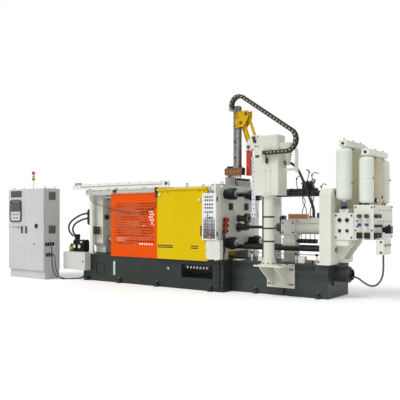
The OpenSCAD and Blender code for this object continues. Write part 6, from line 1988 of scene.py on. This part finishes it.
@dataclass
class Cabinet:
    """The control cabinet's display, key pad, buttons, grips, vents, plugs and lamp segments."""

    face: float = -1.41
    side: float = -4.164

    def build(self) -> None:
        """Make the cabinet's pieces."""
        self.left_door()
        self.right_door()
        self.vents()
        self.plugs()
        self.tower()

    def grip(self, piece: Workpiece, x: float) -> None:
        """A lever handle with its lock on a dark plate.

        Args:
            piece: The piece that gets the handle.
            x: The handle's middle along the door.
        """
        y = self.face
        piece.use(BLACK_PLASTIC).box((x - 0.024, y - 0.014, 1.08), (x + 0.024, y - 0.009, 1.26), 0.003)
        piece.use(DARK_RED).box((x - 0.013, y - 0.036, 1.09), (x + 0.013, y - 0.02, 1.245), 0.005, 2)
        piece.use(GROUND_STEEL).turned(
            (x, y - 0.011, 1.246), FRONT, [(0, 0.009), (0.004, 0.009), (0.0045, 0.004)], 16)

    def left_door(self) -> None:
        """The display, the operator terminal with its key pad, and the row of buttons."""
        y = self.face
        piece = Workpiece("cabinet_left_fittings", BLACK_PLASTIC)
        piece.box((-5.4, y - 0.0085, 1.955), (-4.98, y - 0.005, 2.105), 0.002)
        piece.use(DISPLAY).box((-5.365, y - 0.0095, 1.98), (-5.015, y - 0.008, 2.08), 0.001)
        front = y - 0.014
        rim = [(-5.21 + 0.21 * math.copysign(abs(math.cos(a)) ** 0.28, math.cos(a)),
                1.62 + 0.254 * math.copysign(abs(math.sin(a)) ** 0.22, math.sin(a)))
               for a in [math.tau * i / 48 for i in range(48)]]
        piece.use(BLACK_PLASTIC).tube([Vector((x, front, z)) for x, z in [*rim, rim[0]]], 0.034, 8)
        piece.box((-5.39, front - 0.002, 1.6), (-5.03, front + 0.001, 1.845), 0.001)
        piece.use(DISPLAY).box((-5.375, front - 0.0035, 1.625), (-5.045, front - 0.0015, 1.83), 0.001)
        piece.use(WHITE_PLASTIC).box((-5.39, front - 0.003, 1.396), (-5.03, front + 0.001, 1.6), 0.001)
        for i, x in enumerate(spread(-5.36, -5.06, 9)):
            for j, z in enumerate(spread(1.43, 1.575, 5)):
                if i in (3, 6):
                    continue
                finish = GREY_PLASTIC if (i + j) % 3 else BLUE_PLASTIC
                piece.use(finish).box(
                    (x - 0.012, front - 0.006, z - 0.01), (x + 0.012, front - 0.002, z + 0.01), 0.002)
        for x in (-5.247, -5.135):
            for z in (1.45, 1.54):
                piece.use(BLACK_PLASTIC).turned(
                    (x, front - 0.003, z), FRONT, [(0, 0.016), (0.012, 0.016), (0.014, 0.012)], 20)
        caps = (LENS_GREEN, WHITE_PLASTIC, BLACK_PLASTIC, LENS_AMBER, BLACK_PLASTIC)
        for finish, x in zip(caps, spread(-5.35, -5.15, 5)):
            piece.use(GROUND_STEEL).turned((x, y, 1.226), FRONT, [(0, 0.015), (0.003, 0.015)], 20)
            piece.use(finish).turned(
                (x, y - 0.003, 1.226), FRONT, [(0, 0.011), (0.008, 0.011), (0.01, 0.008)], 20)
        piece.use(LENS_AMBER).turned((-5.1, y, 1.226), FRONT, [(0, 0.026), (0.003, 0.026)], 24)
        piece.use(LENS_RED).turned(
            (-5.1, y - 0.003, 1.226), FRONT, [(0, 0.01), (0.01, 0.01), (0.011, 0.02), (0.02, 0.022),
            (0.026, 0.016), (0.027, 0)], 24)
        self.grip(piece, -4.962)
        piece.put(Body.CABINET_LEFT)

    def right_door(self) -> None:
        """The right door's grip and lock, and the switch's handle."""
        y = self.face
        piece = Workpiece("cabinet_right_fittings", BLACK_PLASTIC)
        self.grip(piece, -4.798)
        piece.use(BLACK_STEEL).turned(
            (-4.518, y, 0.83), FRONT, [(0, 0.016), (0.006, 0.016), (0.008, 0.013), (0.0085, 0.005)], 20)
        piece.use(BLACK_PLASTIC).box((-4.474, y - 0.0055, 1.211), (-4.376, y - 0.0035, 1.309), 0.001)
        piece.use(BLACK_STEEL).bolts(
            grid((-4.47, -4.38), y - 0.004, (1.215, 1.305)), FRONT, 0.007, SMALL_SCREW)
        piece.put(Body.CABINET_RIGHT)
        piece = Workpiece("main_switch_grip", BLACK_PLASTIC)
        piece.box((-4.436, y - 0.052, 1.225), (-4.414, y - 0.03, 1.295), 0.006, 2)
        piece.use(DARK_RED).box((-4.428, y - 0.0535, 1.265), (-4.422, y - 0.051, 1.29), 0.0008)
        piece.put(Body.SWITCH)

    def vents(self) -> None:
        """The slatted filter grilles on the cabinet's side."""
        piece = Workpiece("cabinet_vents", VENT_GREY)
        x = self.side
        for low in (1.079, 1.879):
            high = low + 0.195
            piece.use(VENT_GREY).box((x, -1.264, low), (x + 0.006, -1.055, high), 0.003)
            for z in spread(low + 0.02, high - 0.026, 9):
                piece.plate(
                    [(x + 0.005, z), (x + 0.016, z - 0.004), (x + 0.016, z), (x + 0.005, z + 0.008)], Axis.Y,
                    -1.25, -1.069, 0.0005)
        piece.put(Body.FRAME)

    def plugs(self) -> None:
        """The connectors' plates, hoods, coupling rings and caps."""
        piece = Workpiece("connector_plugs", BLACK_PLASTIC)
        x = self.side
        rows = ((0.83, (-1.35, -1.28, -1.21, -1.14), 0.024), (0.58, (-1.33, -1.255, -1.18), 0.022))
        for z, places, radius in rows:
            for y in places:
                piece.use(PANEL_WHITE).box(
                    (x, y - 0.033, z - 0.058), (x + 0.005, y + 0.033, z + 0.058), 0.002)
                piece.use(BLACK_PLASTIC).box(
                    (x + 0.004, y - 0.025, z - 0.048), (x + 0.018, y + 0.025, z + 0.048), 0.004)
                piece.use(BLACK_STEEL).turned(
                    (x + 0.004, y, z), RIGHT, [(0, radius), (0.01, radius), (0.0105, radius + 0.003),
                    (0.02, radius + 0.003)], 24)
                if (z, y) in ((0.83, -1.28), (0.58, -1.18)):
                    piece.use(BLACK_STEEL).turned(
                        (x + 0.028, y, z), RIGHT, [(0, 0.019), (0.012, 0.019), (0.0155, 0.013)], HEXAGON)
                else:
                    piece.use(BLACK_PLASTIC).turned(
                        (x + 0.036, y, z), RIGHT, [(0, 0.018), (0.01, 0.018), (0.014, 0.012)], 12)
        piece.put(Body.FRAME)

    def tower(self) -> None:
        """The signal tower: a thin pole and three stacked lenses under a cap."""
        piece = Workpiece("tower_light_lamp", LENS_RED)
        x, y, low = -4.936, -1.1, 2.15
        piece.use(BLACK_PLASTIC).turned((x, y, low), UP, [(0, 0.032), (0.014, 0.032), (0.02, 0.02)], 32)
        piece.use(GUARD_CREAM).rod((x, y, low + 0.018), (x, y, low + 0.232), 0.024, 20)
        piece.use(BLACK_PLASTIC).turned(
            (x, y, low + 0.229), UP, [(0, 0.03), (0.008, 0.036), (0.026, 0.036)], 32)
        for k, lens in enumerate((LENS_AMBER, LENS_WHITE, LENS_RED)):
            z = low + 0.255 + 0.058 * k
            piece.use(lens).turned(
                (x, y, z), UP, [(0, 0.036), (0.003, 0.038), (0.046, 0.038), (0.049, 0.036)], 32)
            piece.use(BLACK_PLASTIC).turned((x, y, z + 0.049), UP, [(0, 0.0365), (0.009, 0.0365)], 32)
        piece.use(LENS_RED).turned(
            (x, y, low + 0.429), UP, [(0, 0.036), (0.006, 0.034), (0.011, 0.02), (0.0112, 0)], 32)
        piece.put(Body.FRAME, ["tower_light"])


@dataclass
class LeftEnd:
    """The junction box's latch and glands, and the manifold's gauges, bolts, caps and oil cup."""

    def build(self) -> None:
        """Make the left end's pieces."""
        self.lid()
        self.manifold()
        self.cable_rack()

    def lid(self) -> None:
        """The lid's latch and its corner screws."""
        piece = Workpiece("junction_lid_latch", BLACK_PLASTIC)
        piece.turned((-3.3, -0.978, 0.445), FRONT, [(-0.01, 0.014), (0.002, 0.014), (0.004, 0.011)], 20)
        piece.box((-3.306, -0.988, 0.425), (-3.294, -0.976, 0.465), 0.002)
        piece.use(GROUND_STEEL).bolts(grid((-3.95, -3.27), -0.97, (0.27, 0.62)), FRONT, 0.012, CAP_SCREW)
        piece.put(Body.BOX_LID)

    def manifold(self) -> None:
        """The oil manifold's dial gauges, cap screws, hose elbows and the oil cup on its stand."""
        piece = Workpiece("left_manifold_fittings", BLACK_STEEL)
        for x in (-3.79, -3.615):
            piece.use(BLACK_STEEL).turned(
                (x, -0.8, 0.776), FRONT, [(0, 0.05), (0.008, 0.05), (0.01, 0.045), (0.007, 0.044)], 40)
            piece.use(DIAL_WHITE).turned((x, -0.8, 0.776), FRONT, [(0, 0.044), (0.0085, 0.044)], 40)
            piece.use(BLACK_PLASTIC).box((x - 0.002, -0.8105, 0.776), (x + 0.002, -0.808, 0.81), 0.0)
            piece.turned((x, -0.808, 0.776), FRONT, [(0, 0.006), (0.004, 0.006)], 12)
        piece.use(WHITE_PLASTIC).box((-3.63, -0.766, 0.86), (-3.56, -0.76, 0.895), 0.002)
        piece.use(GREY_PLASTIC).box((-3.865, -0.745, 0.925), (-3.525, -0.595, 0.929), 0.001)
        piece.use(BLACK_STEEL).bolts(grid((-3.85, -3.7, -3.54), (-0.73, -0.61), 0.929), UP, 0.016, CAP_SCREW)
        piece.bolts(grid((-3.86, -3.53), -0.76, (0.65, 0.87)), FRONT, 0.014, CAP_SCREW)
        for y in (-0.705, -0.62):
            piece.use(GROUND_STEEL).turned(
                (-3.882, y, 1.02), RIGHT, [(0, 0.032), (0.022, 0.032), (0.024, 0.03)], HEXAGON)
            piece.use(BLACK_STEEL).turned(
                (-3.835, y, 1.049), UP, [(0, 0.034), (0.006, 0.034), (0.01, 0.028)], 24)
        piece.use(CHARTREUSE).turned(
            (-4.02, -0.68, 0.66), UP, [(0, 0.056), (0.004, 0.0612), (0.11, 0.0612), (0.118, 0.058),
            (0.1185, 0.03)], 32)
        piece.use(BLACK_PLASTIC).turned(
            (-4.02, -0.68, 0.786), UP, [(0, 0.03), (0.02, 0.03), (0.03, 0.026)], 24)
        piece.use(COPPER).tube(
            [(-4.02, -0.63, 0.8), (-4.02, -0.6, 0.8), (-3.96, -0.59, 0.8), (-3.885, -0.59, 0.8)], 0.01, 8)
        piece.put(Body.FRAME)

    def cable_rack(self) -> None:
        """The glands where the cabinet's cables enter the bed, and the box's lower glands."""
        piece = Workpiece("bed_cable_glands", BLACK_PLASTIC)
        for y, z, radius in ((-0.52, 0.33, 0.02), (-0.42, 0.26, 0.018)):
            piece.turned(
                (-3.4895, y, z), LEFT, [(0, radius + 0.008), (0.006, radius + 0.008), (0.0065, radius)], 24)
        piece.use(BLACK_STEEL).box((-3.497, -0.6, 0.2), (-3.49, -0.34, 0.4), 0.002)
        piece.use(GROUND_STEEL).bolts(grid(-3.497, (-0.585, -0.355), (0.215, 0.385)), LEFT, 0.012, CAP_SCREW)
        for x in (-3.6, -3.5, -3.4):
            piece.use(BLACK_PLASTIC).turned(
                (x, -0.86, 0.24), DOWN, [(0, 0.018), (0.012, 0.018), (0.018, 0.012)], HEXAGON)
        piece.put(Body.FRAME)


def main() -> None:
    """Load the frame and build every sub-assembly in order."""
    logging.basicConfig(level=logging.INFO, format="%(name)s: %(message)s")
    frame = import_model()
    bpy.context.scene.view_settings.view_transform = "Standard"
    Stage().build()
    Cords().build()
    NodeFinishes().build(frame["nodes"])
    for assembly in (Bed(), ClampUnit(), Guards(), OperatorPanel(), InjectionUnit(), Accumulators(), Robot(),
                     Cabinet(), LeftEnd()):
        assembly.build()


if __name__ == "__main__":
    main()
